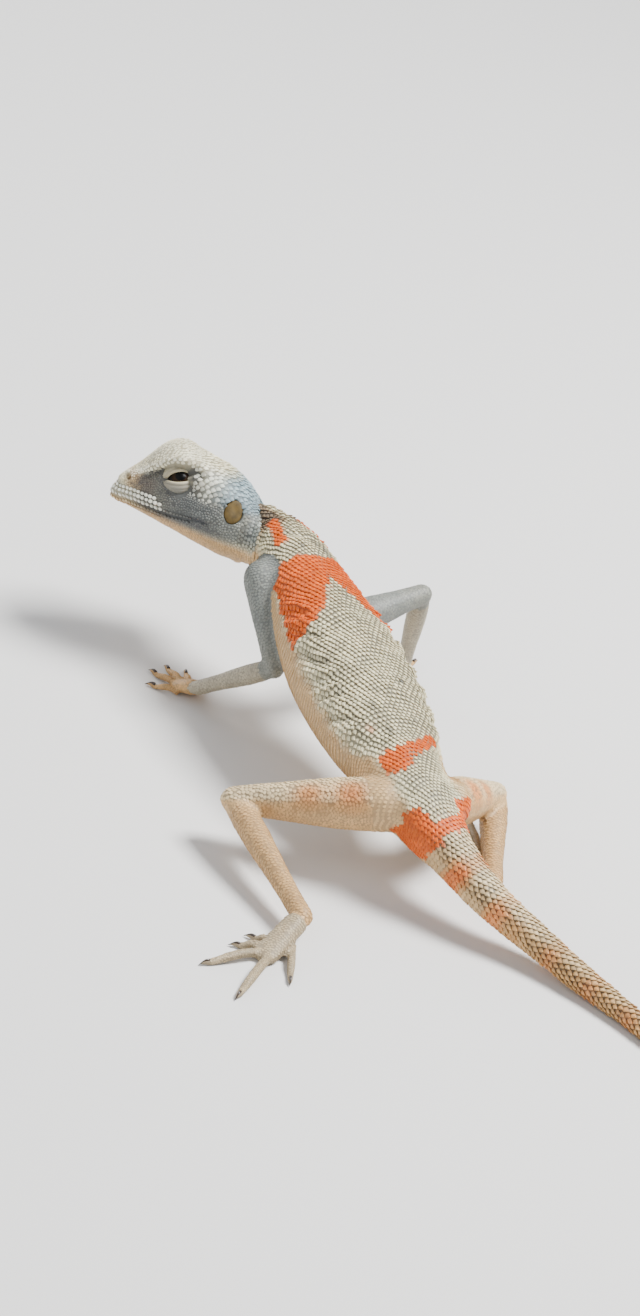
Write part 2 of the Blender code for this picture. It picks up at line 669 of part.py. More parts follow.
def floor_cutter(collection):
    """Add a block that fills everything below the floor."""
    return block("floor_cutter", (-FLOOR_REACH, -FLOOR_REACH, -20), (FLOOR_REACH, FLOOR_REACH, 0), collection)


def centre_on_floor(collection):
    """Move the whole animal so that its box is centred over the origin."""
    low = [math.inf] * 2
    high = [-math.inf] * 2
    for thing in collection.objects:
        for vert in thing.data.vertices:
            for axis in range(2):
                low[axis] = min(low[axis], vert.co[axis])
                high[axis] = max(high[axis], vert.co[axis])
    shift = Matrix.Translation((-(low[0] + high[0]) / 2, -(low[1] + high[1]) / 2, 0))
    for thing in collection.objects:
        thing.data.transform(shift)


def main():
    """Build the agama."""
    clear_scene()
    agama = make_collection("sinai_agama")
    body = Body()
    for piece in body.build(agama):
        if piece.name.startswith("tail"):
            apply_boolean(piece, "DIFFERENCE", [floor_cutter(agama)])
        finish(piece, "tail" if piece.name.startswith("tail") else piece.name)
    Head().build(body.cutter(HEAD_SPAN_START, body.end, agama), agama)
    arm = dict(joints=("shoulder", "elbow", "wrist"), upper="upper_arm_", lower="forearm_", foot="hand_",
               colour="arm", foot_colour="hand", span=(ARM_SPAN_START, body.end))
    leg = dict(joints=("hip", "knee", "ankle"), upper="thigh_", lower="shank_", foot="foot_",
               colour="leg", foot_colour="foot", span=LEG_SPAN)
    for side in ("left", "right"):
        build_limb(arm, ARMS[side], (UPPER_ARM, FOREARM), (HAND_PAD, HAND_PAD_LENGTH, HAND_TOES), side,
                   body, agama)
        build_limb(leg, LEGS[side], (THIGH, SHANK), (FOOT_PAD, FOOT_PAD_LENGTH, FOOT_TOES), side,
                   body, agama)
    centre_on_floor(agama)


main()
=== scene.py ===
"""The looks of a life-size Sinai agama: one skin, a coat of keeled scales, lids, eyes, drums and claws.

Sizes are in millimetres along the animal's own courses, as the solids were laid out, and MM turns
them into metres. The head points to -Y, the animal's left is +X and the floor is at z = 0.
"""
from __future__ import annotations

import json
import logging
import math
from dataclasses import dataclass, field
from enum import Enum

import bmesh
import bpy
import numpy as np
from mathutils import Matrix, Vector
from mathutils.bvhtree import BVHTree
from mathutils.kdtree import KDTree

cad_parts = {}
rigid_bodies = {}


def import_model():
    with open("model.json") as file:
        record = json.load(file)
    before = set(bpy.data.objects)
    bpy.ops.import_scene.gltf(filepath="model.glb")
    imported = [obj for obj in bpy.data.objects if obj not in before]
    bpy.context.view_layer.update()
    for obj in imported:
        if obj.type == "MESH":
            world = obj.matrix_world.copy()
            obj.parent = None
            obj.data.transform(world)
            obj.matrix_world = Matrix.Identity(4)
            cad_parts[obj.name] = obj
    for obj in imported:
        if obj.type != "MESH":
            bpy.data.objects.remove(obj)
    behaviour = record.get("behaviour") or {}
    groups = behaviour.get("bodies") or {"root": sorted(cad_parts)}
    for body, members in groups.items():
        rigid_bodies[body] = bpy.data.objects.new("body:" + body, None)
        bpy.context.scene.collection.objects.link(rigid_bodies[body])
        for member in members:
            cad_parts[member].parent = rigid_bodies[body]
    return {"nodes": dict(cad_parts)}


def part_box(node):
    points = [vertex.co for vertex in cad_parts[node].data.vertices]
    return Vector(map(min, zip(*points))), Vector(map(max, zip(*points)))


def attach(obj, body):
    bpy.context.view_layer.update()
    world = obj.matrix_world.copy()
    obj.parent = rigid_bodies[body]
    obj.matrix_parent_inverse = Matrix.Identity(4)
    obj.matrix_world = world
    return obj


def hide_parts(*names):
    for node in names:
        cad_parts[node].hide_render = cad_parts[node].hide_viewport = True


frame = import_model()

log = logging.getLogger("sinai_agama")
MM = 0.001
SEED = 11
Array = np.ndarray


def unit(rows: Array) -> Array:
    """Return rows of vectors scaled to length one."""
    return rows / np.maximum(np.linalg.norm(rows, axis=-1, keepdims=True), 1e-12)


def bell(value: Array, centre: float, width: float) -> Array:
    """Return a smooth bump, 1 at its centre."""
    return np.exp(-(((value - centre) / width) ** 2))


def ramp(value: Array, low: float, high: float) -> Array:
    """Return a smooth step from 0 at low to 1 at high, or falling where low is above high."""
    t = np.clip((value - low) / (high - low), 0.0, 1.0)
    return t * t * (3 - 2 * t)


def span(value: Array, low: float, high: float, soft: float) -> Array:
    """Return 1 between two values, with soft ends."""
    return ramp(value, low - soft, low + soft) * ramp(value, high + soft, high - soft)


def ripple(places: Array, size: float, phase: float = 0.0) -> Array:
    """Return smooth noise between about -1 and 1, made of a few crossing waves.

    Args:
        places: points in millimetres, one row each.
        size: length of one wave in millimetres.
        phase: number that gives another pattern.

    Returns:
        One value for each point.
    """
    total = np.zeros(len(places))
    for turn in range(5):
        angle = 1.7 * turn + phase
        way = np.array([math.cos(angle), math.sin(angle), math.sin(2.3 * angle + 0.4)])
        total += np.sin(places @ way * (2 * math.pi / size) * (1 + 0.13 * turn) + 2.1 * turn + phase)
    return total / 3.2


def table(rows: list[tuple[float, ...]]) -> "Table":
    """Return a smooth function through rows whose first column rises."""
    return Table(np.array(rows, float))


class Table:
    """A smooth curve through a few rows, read for many keys at once."""

    def __init__(self, rows: Array) -> None:
        """Keep the rows and their slopes.

        Args:
            rows: keys in the first column, values in the others.
        """
        self.keys = rows[:, 0]
        self.values = rows[:, 1:]
        self.slopes = np.gradient(self.values, self.keys, axis=0)

    def __call__(self, key: Array | float) -> Array:
        """Return the values at the keys, one row each."""
        key = np.clip(np.atleast_1d(np.asarray(key, float)), self.keys[0], self.keys[-1])
        i = np.clip(np.searchsorted(self.keys, key, side="right") - 1, 0, len(self.keys) - 2)
        run = (self.keys[i + 1] - self.keys[i])[:, None]
        t = (key[:, None] - self.keys[i][:, None]) / run
        start = (1 + 2 * t) * (1 - t) ** 2 * self.values[i] + t * (1 - t) ** 2 * run * self.slopes[i]
        end = t * t * (3 - 2 * t) * self.values[i + 1] + t * t * (t - 1) * run * self.slopes[i + 1]
        return start + end


class Part(Enum):
    """The stretches of the animal that have their own lie and scales."""

    TRUNK = 0
    HEAD = 1
    UPPER_ARM = 2
    FOREARM = 3
    HAND = 4
    THIGH = 5
    SHANK = 6
    FOOT = 7


@dataclass(frozen=True)
class Limb:
    """One limb's joints, in millimetres as the solids were laid out."""

    root: tuple[float, float, float]
    bend: tuple[float, float, float]
    end: tuple[float, float, float]
    heading: float
    spread: float
    parts: tuple[Part, Part, Part]
    radii: tuple[float, float, float]
    mirror: int


@dataclass
class Anatomy:
    """The courses that the solids follow, and where every point of the skin lies along them."""

    tail_course: tuple = ((-20.0, 131.0, 0.0), (-24.5, 112.0, 0.0), (-27.0, 92.0, 0.0), (-26.5, 72.0, 0.2),
                          (-23.5, 54.0, 0.8), (-18.7, 36.0, 1.6), (-15.4, 27.0, 2.2), (-11.2, 18.2, 3.9),
                          (-5.7, 9.8, 7.4))
    pelvis: tuple = (-1.3, -3.7, 13.1)
    trunk_course: tuple = ((-2.7, -26.0, 16.5), (-2.8, -48.0, 22.3), (-2.4, -56.0, 23.9), (-0.6, -62.8, 24.0))
    sections: tuple = ((-136.0, 0.35, 0.35), (-100.0, 0.9, 0.9), (-70.0, 1.25, 1.25), (-42.0, 1.65, 1.6),
                       (-28.0, 2.3, 2.25), (-18.0, 2.75, 2.65), (-10.0, 3.5, 3.2), (-5.0, 4.7, 4.1),
                       (0.0, 5.8, 4.8), (6.0, 6.7, 5.2), (13.0, 8.3, 6.0), (22.0, 9.4, 6.8), (31.0, 9.2, 7.0),
                       (39.0, 7.9, 6.2), (46.0, 6.7, 5.4), (52.0, 5.9, 5.1), (57.0, 5.3, 4.7), (61.0, 5.1, 4.4))
    rolls: tuple = ((-30.0, 0.0), (5.0, 2.0), (40.0, 9.0), (61.0, 13.0))
    snout_tip: tuple = (17.3, -75.6, 24.7)
    head_heading: float = -35.4
    head_pitch: float = 4.4
    head_roll: float = 16.0
    eye: tuple = (9.25, 3.95, 4.75)
    eye_radius: float = 1.9
    ear: tuple = (18.65, 7.49, 3.65)
    ear_out: tuple = (0.18, 0.87, 0.45)
    mouth_line: tuple = ((-0.2, -1.1), (3.6, -0.65), (7.0, -0.45), (10.0, -0.25), (13.5, 0.25))
    samples: int = 20
    limbs: dict = field(default_factory=lambda: {
        "arm_left": Limb((3.6, -50.0, 22.6), (4.2, -40.2, 13.2), (9.6, -51.2, 3.2), -88.0, 1.0,
                         (Part.UPPER_ARM, Part.FOREARM, Part.HAND), (2.4, 1.5, 1.2), -1),
        "arm_right": Limb((-10.3, -45.7, 17.2), (-23.9, -48.8, 19.3), (-27.2, -53.8, 3.2), -100.0, 1.0,
                          (Part.UPPER_ARM, Part.FOREARM, Part.HAND), (2.4, 1.5, 1.2), 1),
        "leg_left": Limb((3.0, -4.4, 12.6), (21.0, -15.6, 7.5), (20.3, 7.5, 3.3), 32.0, 1.0,
                         (Part.THIGH, Part.SHANK, Part.FOOT), (3.3, 2.0, 1.6), -1),
        "leg_right": Limb((-5.6, -3.6, 12.4), (-21.2, -13.6, 6.2), (-12.7, 3.4, 3.3), -106.0, 0.5,
                          (Part.THIGH, Part.SHANK, Part.FOOT), (3.3, 2.0, 1.6), 1),
    })

    def __post_init__(self) -> None:
        """Lay out the spine, the head's axes and the shift to the frame that the solids stand in."""
        knots = np.array(list(self.tail_course) + [self.pelvis] + list(self.trunk_course), float)
        rounded = Table(np.column_stack([np.arange(len(knots)), knots]))
        places = rounded(np.linspace(0, len(knots) - 1, (len(knots) - 1) * self.samples + 1))
        runs = np.linalg.norm(np.diff(places, axis=0), axis=1)
        reach = np.concatenate([[0.0], np.cumsum(runs)])
        reach -= reach[len(self.tail_course) * self.samples]
        self.reach = np.arange(reach[0], reach[-1], 0.8)
        self.spine = np.column_stack([np.interp(self.reach, reach, places[:, axis]) for axis in range(3)])
        self.size = table(list(self.sections))(self.reach)
        self.spine[:, 2] = np.maximum(self.spine[:, 2], self.size[:, 1] - 0.12)
        self.ahead = unit(np.gradient(self.spine, axis=0))
        level = unit(np.cross([0.0, 0.0, 1.0], self.ahead))
        rise = np.cross(self.ahead, level)
        roll = np.radians(table(list(self.rolls))(self.reach)[:, :1])
        self.side = level * np.cos(roll) + rise * np.sin(roll)
        self.rise = np.cross(self.ahead, self.side)
        heading, pitch, turn = (math.radians(a) for a in (self.head_heading, self.head_pitch, self.head_roll))
        ahead = np.array([math.cos(pitch) * math.cos(heading), math.cos(pitch) * math.sin(heading),
                          math.sin(pitch)])
        level = unit(np.cross([0.0, 0.0, 1.0], ahead))
        side = level * math.cos(turn) + np.cross(ahead, level) * math.sin(turn)
        self.head_axes = np.array([-ahead, side, np.cross(ahead, side)])
        self.mouth = table(list(self.mouth_line))
        low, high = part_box("eye_left")
        centre = np.array((low + high) / 2) / MM
        self.shift = centre - self.head_world(np.array([self.eye]), False)[0]

    def head_world(self, local: Array, shifted: bool = True) -> Array:
        """Return the places of points given from the snout tip: along, across, rise.

        Args:
            local: one row for each point.
            shifted: False gives the places before the shift to the frame.

        Returns:
            World places in millimetres.
        """
        place = np.array(self.snout_tip) + local @ self.head_axes
        return place + self.shift if shifted else place

    def head_local(self, places: Array) -> Array:
        """Return places as along, across and rise from the snout tip."""
        return (places - self.shift - np.array(self.snout_tip)) @ self.head_axes.T

    def toes(self, limb: Limb, name: str) -> list[tuple[Array, Array, float]]:
        """Return root, tip and radius of each toe of a limb, before the shift.

        Args:
            limb: the limb.
            name: its name, which says hand or foot.

        Returns:
            One tuple for each toe.
        """
        rows = HAND_TOES if name.startswith("arm") else FOOT_TOES
        made = []
        angle = math.radians(limb.heading)
        ahead = np.array([math.cos(angle), math.sin(angle)])
        side = np.array([-ahead[1], ahead[0]]) * limb.mirror
        for along, across, length, turn, radius in rows:
            root = np.array(limb.end[:2]) + ahead * along + side * across
            way = angle + limb.mirror * limb.spread * math.radians(turn)
            tip = root + length * np.array([math.cos(way), math.sin(way)])
            made.append((np.array([*root, radius]), np.array([*tip, radius * 0.8]), radius))
        return made

    def in_ear(self, local: Array, side: int) -> tuple[Array, Array]:
        """Return head places in an ear's own axes, and how far they lie from its middle, 1 at its rim."""
        middle, axes = self.ear_axes(side)
        own = (local - middle) @ axes.T
        return own, np.hypot(own[:, 0] / EAR_HALF[0], own[:, 2] / EAR_HALF[1])

    def runs(self, limb: Limb, name: str) -> list[tuple[Array, Array, float, Part, float]]:
        """Return a limb's straight runs: start, end, radius, part and where the run starts along the limb.

        Args:
            limb: the limb.
            name: its name, which says arm or leg.
        """
        joints = [np.array(limb.root), np.array(limb.bend), np.array(limb.end)]
        angle = math.radians(limb.heading)
        pad_length = 4.6 if name.startswith("arm") else 8.6
        pad = joints[2] + np.array([math.cos(angle), math.sin(angle), 0.0]) * pad_length
        pad[2] = 0.9
        ends = [*joints, pad]
        made = [(ends[i], ends[i + 1], limb.radii[i], limb.parts[i], float(i)) for i in range(3)]
        return made + [(root, tip, size, limb.parts[2], 3.0) for root, tip, size in self.toes(limb, name)]

    def frames(self, stations: Array) -> tuple[Array, Array, Array, Array, Array]:
        """Return the spine's places, its ahead, side and rise directions and the half sizes at stations."""
        return tuple(np.column_stack([np.interp(stations, self.reach, column) for column in rows.T])
                     for rows in (self.spine + self.shift, self.ahead, self.side, self.rise, self.size))

    def ear_axes(self, side: int) -> tuple[Array, Array]:
        """Return an ear's middle and its axes in the head's coordinates: back, out and up.

        Args:
            side: 1 for the left ear and -1 for the right.
        """
        mirror = np.array([1.0, side, 1.0])
        out = unit(np.array(self.ear_out))
        back = unit(np.array([1.0, 0.0, 0.0]) - out * out[0])
        up = np.cross(back, out)
        return np.array(self.ear) * mirror, np.array([back, out, up]) * mirror

    def read(self, places: Array) -> "Reading":
        """Return what part each place belongs to, how far along it lies and at what angle round it.

        Args:
            places: world places in millimetres.

        Returns:
            A reading with one entry for each place.
        """
        local = places - self.shift
        count = len(local)
        station = np.zeros(count, int)
        best = np.full(count, 1e9)
        for start in range(0, count, 4000):
            block = local[start:start + 4000]
            away = ((block[:, None, :] - self.spine[None, :, :]) ** 2).sum(2)
            station[start:start + 4000] = away.argmin(1)
            best[start:start + 4000] = np.sqrt(away.min(1))
        radius = self.size[station].mean(1)
        offset = local - self.spine[station]
        across = (offset * self.side[station]).sum(1)
        height = (offset * self.rise[station]).sum(1)
        part = np.full(count, Part.TRUNK.value)
        limb_of = np.full(count, -1)
        along = self.reach[station] + np.clip((offset * self.ahead[station]).sum(1), -0.8, 0.8)
        angle = np.degrees(np.arctan2(height, across))
        lie = -self.ahead[station]
        score = (best - radius) / np.maximum(radius, 2.0) ** 0.5
        head = self.head_local(places)
        in_head = (past_jowl(head[:, 0], head[:, 2]) < 0) & (np.abs(head[:, 1]) < 9) & (head[:, 0] > -2)
        in_head &= (head[:, 2] > -6.5) & (head[:, 2] < 11)
        for number, (name, limb) in enumerate(self.limbs.items()):
            for first, last, size, kind, base in self.runs(limb, name):
                way = last - first
                length = np.linalg.norm(way)
                way = way / length
                share = (local - first) @ way / length
                nearest = first + np.clip(share, 0, 1)[:, None] * way * length
                gap = np.linalg.norm(local - nearest, axis=1)
                own = (gap - size) / max(size, 1.0) ** 0.5
                if base == 0.0:
                    own = own + (1.2 if name.startswith("leg") else -0.9) * ramp(share, 0.25, 0.0)
                better = own < score
                score = np.where(better, own, score)
                part[better] = kind.value
                limb_of[better] = number
                along[better] = base + np.clip(share[better], -0.2, 1.2)
                level = unit(np.cross(way, [0.0, 0.0, 1.0]))
                above = np.cross(level, way)
                turned = np.degrees(np.arctan2((local - nearest) @ above, (local - nearest) @ level))
                angle = np.where(better, turned, angle)
                lie[better] = way
        reaches_head = in_head & (part != Part.HAND.value) & (part != Part.UPPER_ARM.value)
        part[reaches_head] = Part.HEAD.value
        limb_of[reaches_head] = -1
        lie[reaches_head] = self.head_axes[0]
        return Reading(places, part, limb_of, along, angle, lie, head)


@dataclass
class Reading:
    """Where each of many places lies on the animal."""

    places: Array
    part: Array
    limb: Array
    along: Array
    angle: Array
    lie: Array
    head: Array

    def is_part(self, *parts: Part) -> Array:
        """Return True for each place on one of the parts."""
        return np.isin(self.part, [part.value for part in parts])


# Toes: forward and sideways place of the root on the pad, length, turn from the pad, radius.
HAND_TOES = ((2.6, 1.3, 3.3, 48.0, 0.52), (4.0, 1.1, 4.5, 20.0, 0.55), (4.6, 0.2, 5.2, 1.0, 0.58),
             (4.3, -0.8, 5.0, -18.0, 0.56), (3.0, -1.4, 3.9, -46.0, 0.52))
FOOT_TOES = ((5.4, 1.2, 2.6, 78.0, 0.58), (7.2, 1.2, 3.6, 56.0, 0.62), (8.4, 0.5, 8.8, 29.0, 0.68),
             (8.2, -0.6, 11.0, -9.5, 0.7), (3.6, -1.2, 8.0, -31.0, 0.6))
CLAW_LENGTH = 1.5
# Lines on the side of the head, as places along it and up from the snout tip.
LIP = np.array(Anatomy.mouth_line)
BROW = np.array([[2.0, 2.6], [3.8, 4.4], [6.1, 6.5], [8.0, 7.8], [11.0, 8.3], [13.0, 7.6]])
JOWL = np.array([[22.0, -5.5], [23.3, -3.0], [23.4, -1.0], [23.4, 0.8], [23.2, 2.2], [22.2, 4.0], [21.0, 6.0]])
NOSTRIL = (1.65, 2.35)
EAR_HALF = (1.38, 1.86)
EAR_DEPTH = 0.55


def over_line(line: Array, along: Array, rise: Array) -> Array:
    """Return how far places stand above a line on the side of the head."""
    return rise - np.interp(along, line[:, 0], line[:, 1])


def past_jowl(along: Array, rise: Array) -> Array:
    """Return how far places lie behind the rear edge of the jowl."""
    return along - np.interp(rise, JOWL[:, 1], JOWL[:, 0])


@dataclass(frozen=True)
class Palette:
    """Colours of the hide, in linear light, and how they mix."""

    cream: tuple = (0.62, 0.575, 0.40)
    tan: tuple = (0.50, 0.295, 0.12)
    blue: tuple = (0.20, 0.30, 0.37)
    orange: tuple = (0.66, 0.125, 0.004)
    rust: tuple = (0.42, 0.055, 0.003)
    grey: tuple = (0.068, 0.073, 0.080)
    pale: tuple = (0.82, 0.83, 0.76)


def from_side(angle: Array) -> Array:
    """Return the angle up from the side, in degrees, the same on both flanks and 90 on the back."""
    return 90.0 - np.abs(angle - 90.0)


def folds(at: Reading) -> Array:
    """Return the height of the flank's slanting folds at each place, between -1 and 1."""
    low = from_side(at.angle)
    slant = at.along + 0.10 * low + 1.0 * ripple(at.places, 9.0, 1.0)
    waves = np.sin(2 * math.pi * slant / 4.4) + 0.35 * np.sin(2 * math.pi * slant / 1.9)
    reach = span(at.along, 11.0, 27.0, 4.0) * 0.8 + span(at.along, 27.0, 40.0, 3.0)
    return waves * span(low, 2.0, 38.0, 10.0) * reach


def flank_edge(along: Array) -> Array:
    """Return the angle on the flank, in degrees, below which the scales are small and smooth."""
    return np.interp(along, [-40.0, -25.0, -12.0, -6.0, -3.0, 3.0, 5.0, 9.0, 31.0, 37.0, 44.0, 48.0],
                     [-90.0, -20.0, 0.0, 18.0, 28.0, 36.0, 32.0, 7.0, 7.0, 2.0, 4.0, 0.0])


def from_belly(angle: Array) -> Array:
    """Return the angle up from the side as from_side does, and down to -90 under the belly on both flanks."""
    return np.where(angle < -90.0, -180.0 - angle, from_side(angle))


def above_flank(at: Reading) -> Array:
    """Return the angle, in degrees, from the flank's edge up to each place on the trunk."""
    return from_belly(at.angle) - flank_edge(at.along)


def leg_angle(at: Reading) -> Array:
    """Return the angle round a limb in degrees, the same on left and right: 0 in front and 90 on top."""
    right = (at.limb >= 0) & (at.limb % 2 == 1)
    turned = np.where(right, 180.0 - at.angle, at.angle)
    return np.where(turned > 180.0, turned - 360.0, turned)


def leg_top(at: Reading) -> Array:
    """Return 1 on the upper, scaly side of each thigh and 0 on its smooth underside."""
    return span(leg_angle(at), -14.0, 148.0, 9.0)


@dataclass
class Markings:
    """Where the hide is orange, blue, tan or grey, from places along the body and head."""

    body: Anatomy

    def orange(self, at: Reading) -> Array:
        """Return how orange each place is: neck and shoulder patches, loin chevron and tail bands."""
        s = at.along + 0.35 * ripple(at.places, 6.0, 0.7) + 0.3 * ripple(at.places, 2.3, 2.0)
        fold = from_belly(at.angle) + 3.0 * ripple(at.places, 4.0, 4.0)
        trunk = at.is_part(Part.TRUNK)
        neck = span(s, 50.3, 55.8, 0.4) * bell(fold - 38.0 - 2.5 * (s - 50.5), 0.0, 12.0)
        lower = np.interp(fold, [5.0, 14.0, 28.0, 46.0, 78.0, 92.0], [31.0, 31.5, 33.0, 34.5, 40.8, 42.6])
        shoulder = ramp(s - lower, -0.5, 0.5) * ramp(s, 47.4, 46.6) * ramp(fold, 2.0, 8.0)
        middle = np.interp(at.angle, [34.0, 60.0, 101.0, 142.0], [4.2, 4.3, 6.0, 8.6])
        half = 2.0 - 0.006 * at.angle
        loin = ramp(np.abs(s - middle), half + 0.4, half - 0.4) * span(at.angle, 34.0, 148.0, 4.0)
        root = span(s, -8.0, -2.6, 0.7) * span(fold, -30.0, 48.0, 7.0)
        first = span(s, -7.4, -5.4, 0.4)
        total = ramp(np.clip(neck + shoulder + loin + root + first, 0, 1), 0.3, 0.55)
        side = 0.25 + 0.75 * ramp(fold, 66.0, 30.0)
        later = span(s, -14.2, -11.4, 0.8) * 0.75 + span(s, -21.4, -18.8, 0.9) * 0.5
        later = later + bell((s + 26.5) % 7.4, 3.7, 1.4) * span(s, -70.0, -25.0, 6.0) * 0.32
        total = np.maximum(total, later * side) * trunk
        thigh = bell(at.along, 0.22, 0.10) + 0.7 * bell(at.along, 0.5, 0.10)
        total += at.is_part(Part.THIGH) * thigh * bell(leg_angle(at), 128.0, 30.0) * 0.5
        spot = bell(np.hypot(at.along - 10.5, (at.angle - 44.0) * 0.14), 0.0, 0.55) * trunk * 0.7
        return np.clip(total + spot, 0, 1)

    def blue(self, at: Reading) -> Array:
        """Return how blue-grey each place is: temples, nape sides, jowls and upper arms."""
        along, _, rise = at.head.T
        head = at.is_part(Part.HEAD)
        temple = ramp(along, 11.0, 14.0) * ramp(rise, 2.6, 4.2) * ramp(rise, 8.6, 7.0)
        temple = temple * (0.42 + 0.5 * ramp(along, 13.0, 18.0))
        jowl = ramp(along, 19.0, 22.0) * ramp(rise, -2.2, 1.0) * 0.6
        cheek = span(along, 9.0, 22.0, 3.0) * span(rise, -1.2, 4.0, 1.0) * 0.50
        lips = span(along, -0.5, 7.9, 0.4) * span(rise, -0.6, 1.4, 0.3) * 0.12
        arm = at.is_part(Part.UPPER_ARM) * (0.55 - 0.15 * ramp(at.along, 0.5, 1.0))
        fore = at.is_part(Part.FOREARM) * 0.25
        return np.clip(head * np.maximum.reduce([temple, cheek, jowl, lips]) + arm + fore, 0, 1)

    def tan(self, at: Reading) -> Array:
        """Return how tan each place is: belly, lower flank, throat, tail, legs and hands."""
        trunk, head = at.is_part(Part.TRUNK), at.is_part(Part.HEAD)
        low = from_belly(at.angle)
        under = ramp(low - flank_edge(at.along) + 3.0 * ripple(at.places, 3.0, 1.0), 9.0, -7.0)
        belly = under * (0.72 + 0.12 * ramp(at.along, -20.0, 10.0))
        # Tan on the neck sides behind the jowl. Together with the grey set there, it gives the dark brown of painted
        # shade in the crease.
        nape = ramp(at.along, 53.8, 55.2) * ramp(low, 86.0, 70.0) * 0.85
        rump = ramp(at.along, -2.0, -9.0) * (0.34 + 0.4 * ramp(low, 70.0, 20.0))
        belly = trunk * np.maximum.reduce([belly, nape, rump])
        tail = trunk * ramp(at.along, -12.0, -40.0) * 0.35
        along, _, rise = at.head.T
        chin = np.interp(along, [0.0, 9.0, 17.3, 23.0], [-1.2, -0.6, -1.3, -1.5])
        throat = head * ramp(rise - chin, 0.8, -0.9)
        lore = head * span(along, 1.6, 6.2, 1.0) * span(rise, 0.9, 3.6, 0.5)
        leg = at.is_part(Part.THIGH) * (0.88 - 0.42 * leg_top(at)) + at.is_part(Part.SHANK) * 0.95
        leg = leg + at.is_part(Part.FOOT) * 0.50
        hand = at.is_part(Part.HAND) * 0.95 + at.is_part(Part.FOREARM) * 0.40
        faint = at.is_part(Part.THIGH) | (trunk & (at.along < -9.0))
        under_orange = np.minimum(1.8 * self.orange(at), 0.9) * faint
        return np.clip(belly + tail + throat * 0.9 + lore * 0.7 + leg + hand + under_orange, 0, 1)

    def grey(self, at: Reading) -> Array:
        """Return how dark grey each place is: cheeks, whose own grey is darkened further as painted shade, painted
        shade under the brow, round the lids, in the flank's furrows and in the neck crease behind the jowl, nape dashes
        and small spots.
        """
        along, _, rise = at.head.T
        head, trunk = at.is_part(Part.HEAD), at.is_part(Part.TRUNK)
        brow = over_line(BROW, along, rise)
        # Cheeks: their own dark blue-grey, made darker still as painted shade of the head's shaded side.
        cheek = span(along, 3.4, 23.0, 1.3) * span(rise, -0.9, 5.4, 0.9)
        cheek = cheek * (0.86 - 0.26 * ramp(along, 14.0, 20.0))
        # Grey band just below the brow line: painted shade under the brow ridge.
        cheek = np.maximum(cheek, span(along, 3.0, 12.6, 0.9) * span(brow, -2.6, -0.75, 0.3) * 0.86)
        cheek = cheek * (1 - 0.55 * ramp(along, 11.5, 14.0) * ramp(rise, 3.0, 4.4))
        cheek = cheek * ramp(brow, -0.3, -0.7 - 3.0 * ramp(along, 12.6, 13.4))
        snout = span(along, 2.2, 6.0, 0.8) * bell(rise, 1.75, 0.35) * 0.7
        jaw = span(along, 5.0, 19.0, 2.0) * span(rise, -1.5, -0.4, 0.6) * 0.30
        jaw = jaw + bell(along - 14.1, 0.0, 1.1) * bell(rise, 0.6, 0.22) * 0.5
        for side in (1, -1):
            angle, reach = EyeFrame(self.body, side).off_axis(at.head)
            # Thin grey ring round each lid: painted shade in the crease where the lid meets the skin.
            snout = np.maximum(snout, bell(angle, 80.0, 6.0) * (reach < 3.6) * 0.95)
        spots = np.zeros(len(at.along))
        for s, angle, size in ((9.5, 68.0, 0.45), (14.8, 59.0, 0.35), (49.6, 104.0, 0.45), (48.3, 118.0, 0.5),
                               (49.2, 70.0, 0.35), (20.0, 120.0, 0.3), (12.0, 118.0, 0.35)):
            reach = np.hypot((at.along - s) * 0.7, (at.angle - angle) * 0.13)
            spots += bell(reach, 0.0, size * 1.4)
        mottle = 0.10 * ramp(ripple(at.places, 3.4, 5.0), 0.2, 0.9)
        limbs = at.is_part(Part.UPPER_ARM) * 0.66 + at.is_part(Part.FOREARM) * 0.36
        limbs = limbs + at.is_part(Part.SHANK) * 0.08 + at.is_part(Part.FOOT) * 0.42
        low = from_belly(at.angle)
        # Grey in the furrows between the flank's folds: painted shade.
        painted_furrow_shade = ramp(-folds(at), 0.1, 0.9) * 0.26
        # Grey on the neck sides behind the jowl: painted shade in the crease there.
        neck = ramp(at.along, 53.8, 55.4) * ramp(low, 84.0, 68.0) * 0.70
        body = trunk * (spots * 0.8 + mottle + painted_furrow_shade + neck)
        return np.clip(head * np.maximum(cheek + jaw, snout) + body + limbs, 0, 1)

    def pale(self, at: Reading) -> Array:
        """Return how whitish each place is: lip beads, crown and temple scales."""
        along, _, rise = at.head.T
        head = at.is_part(Part.HEAD)
        crown = ramp(rise - 0.25 * np.abs(at.head[:, 1]), 4.0, 6.5) * ramp(along, 16.0, 11.0) * 0.30
        temple = span(along, 11.2, 15.5, 1.2) * span(rise, 3.4, 8.0, 0.6) * 0.42
        canthus = span(along, 1.0, 9.0, 0.8) * bell(over_line(BROW, along, rise), 0.2, 0.6) * 0.6
        return np.clip(head * (np.maximum(crown, canthus) + temple), 0, 1)

    def marks(self, at: Reading) -> Array:
        """Return the orange, blue, tan and grey shares of each place."""
        return np.column_stack([self.orange(at), self.blue(at), self.tan(at), self.grey(at)])


def put_colour(mesh: bpy.types.Mesh, name: str, values: Array) -> None:
    """Store four numbers for each point of a mesh.

    Args:
        mesh: the mesh.
        name: the attribute's name.
        values: one row of four numbers for each point.
    """
    layer = mesh.attributes.new(name, "FLOAT_COLOR", "POINT")
    layer.data.foreach_set("color", np.ascontiguousarray(values, np.float32).ravel())


def points_of(mesh: bpy.types.Mesh) -> Array:
    """Return a mesh's points in millimetres."""
    places = np.empty(len(mesh.vertices) * 3, np.float32)
    mesh.vertices.foreach_get("co", places)
    return places.reshape(-1, 3).astype(float) / MM


def move_points(mesh: bpy.types.Mesh, places: Array) -> None:
    """Set a mesh's points, given in millimetres."""
    mesh.vertices.foreach_set("co", np.ascontiguousarray(places * MM, np.float32).ravel())
    mesh.update()


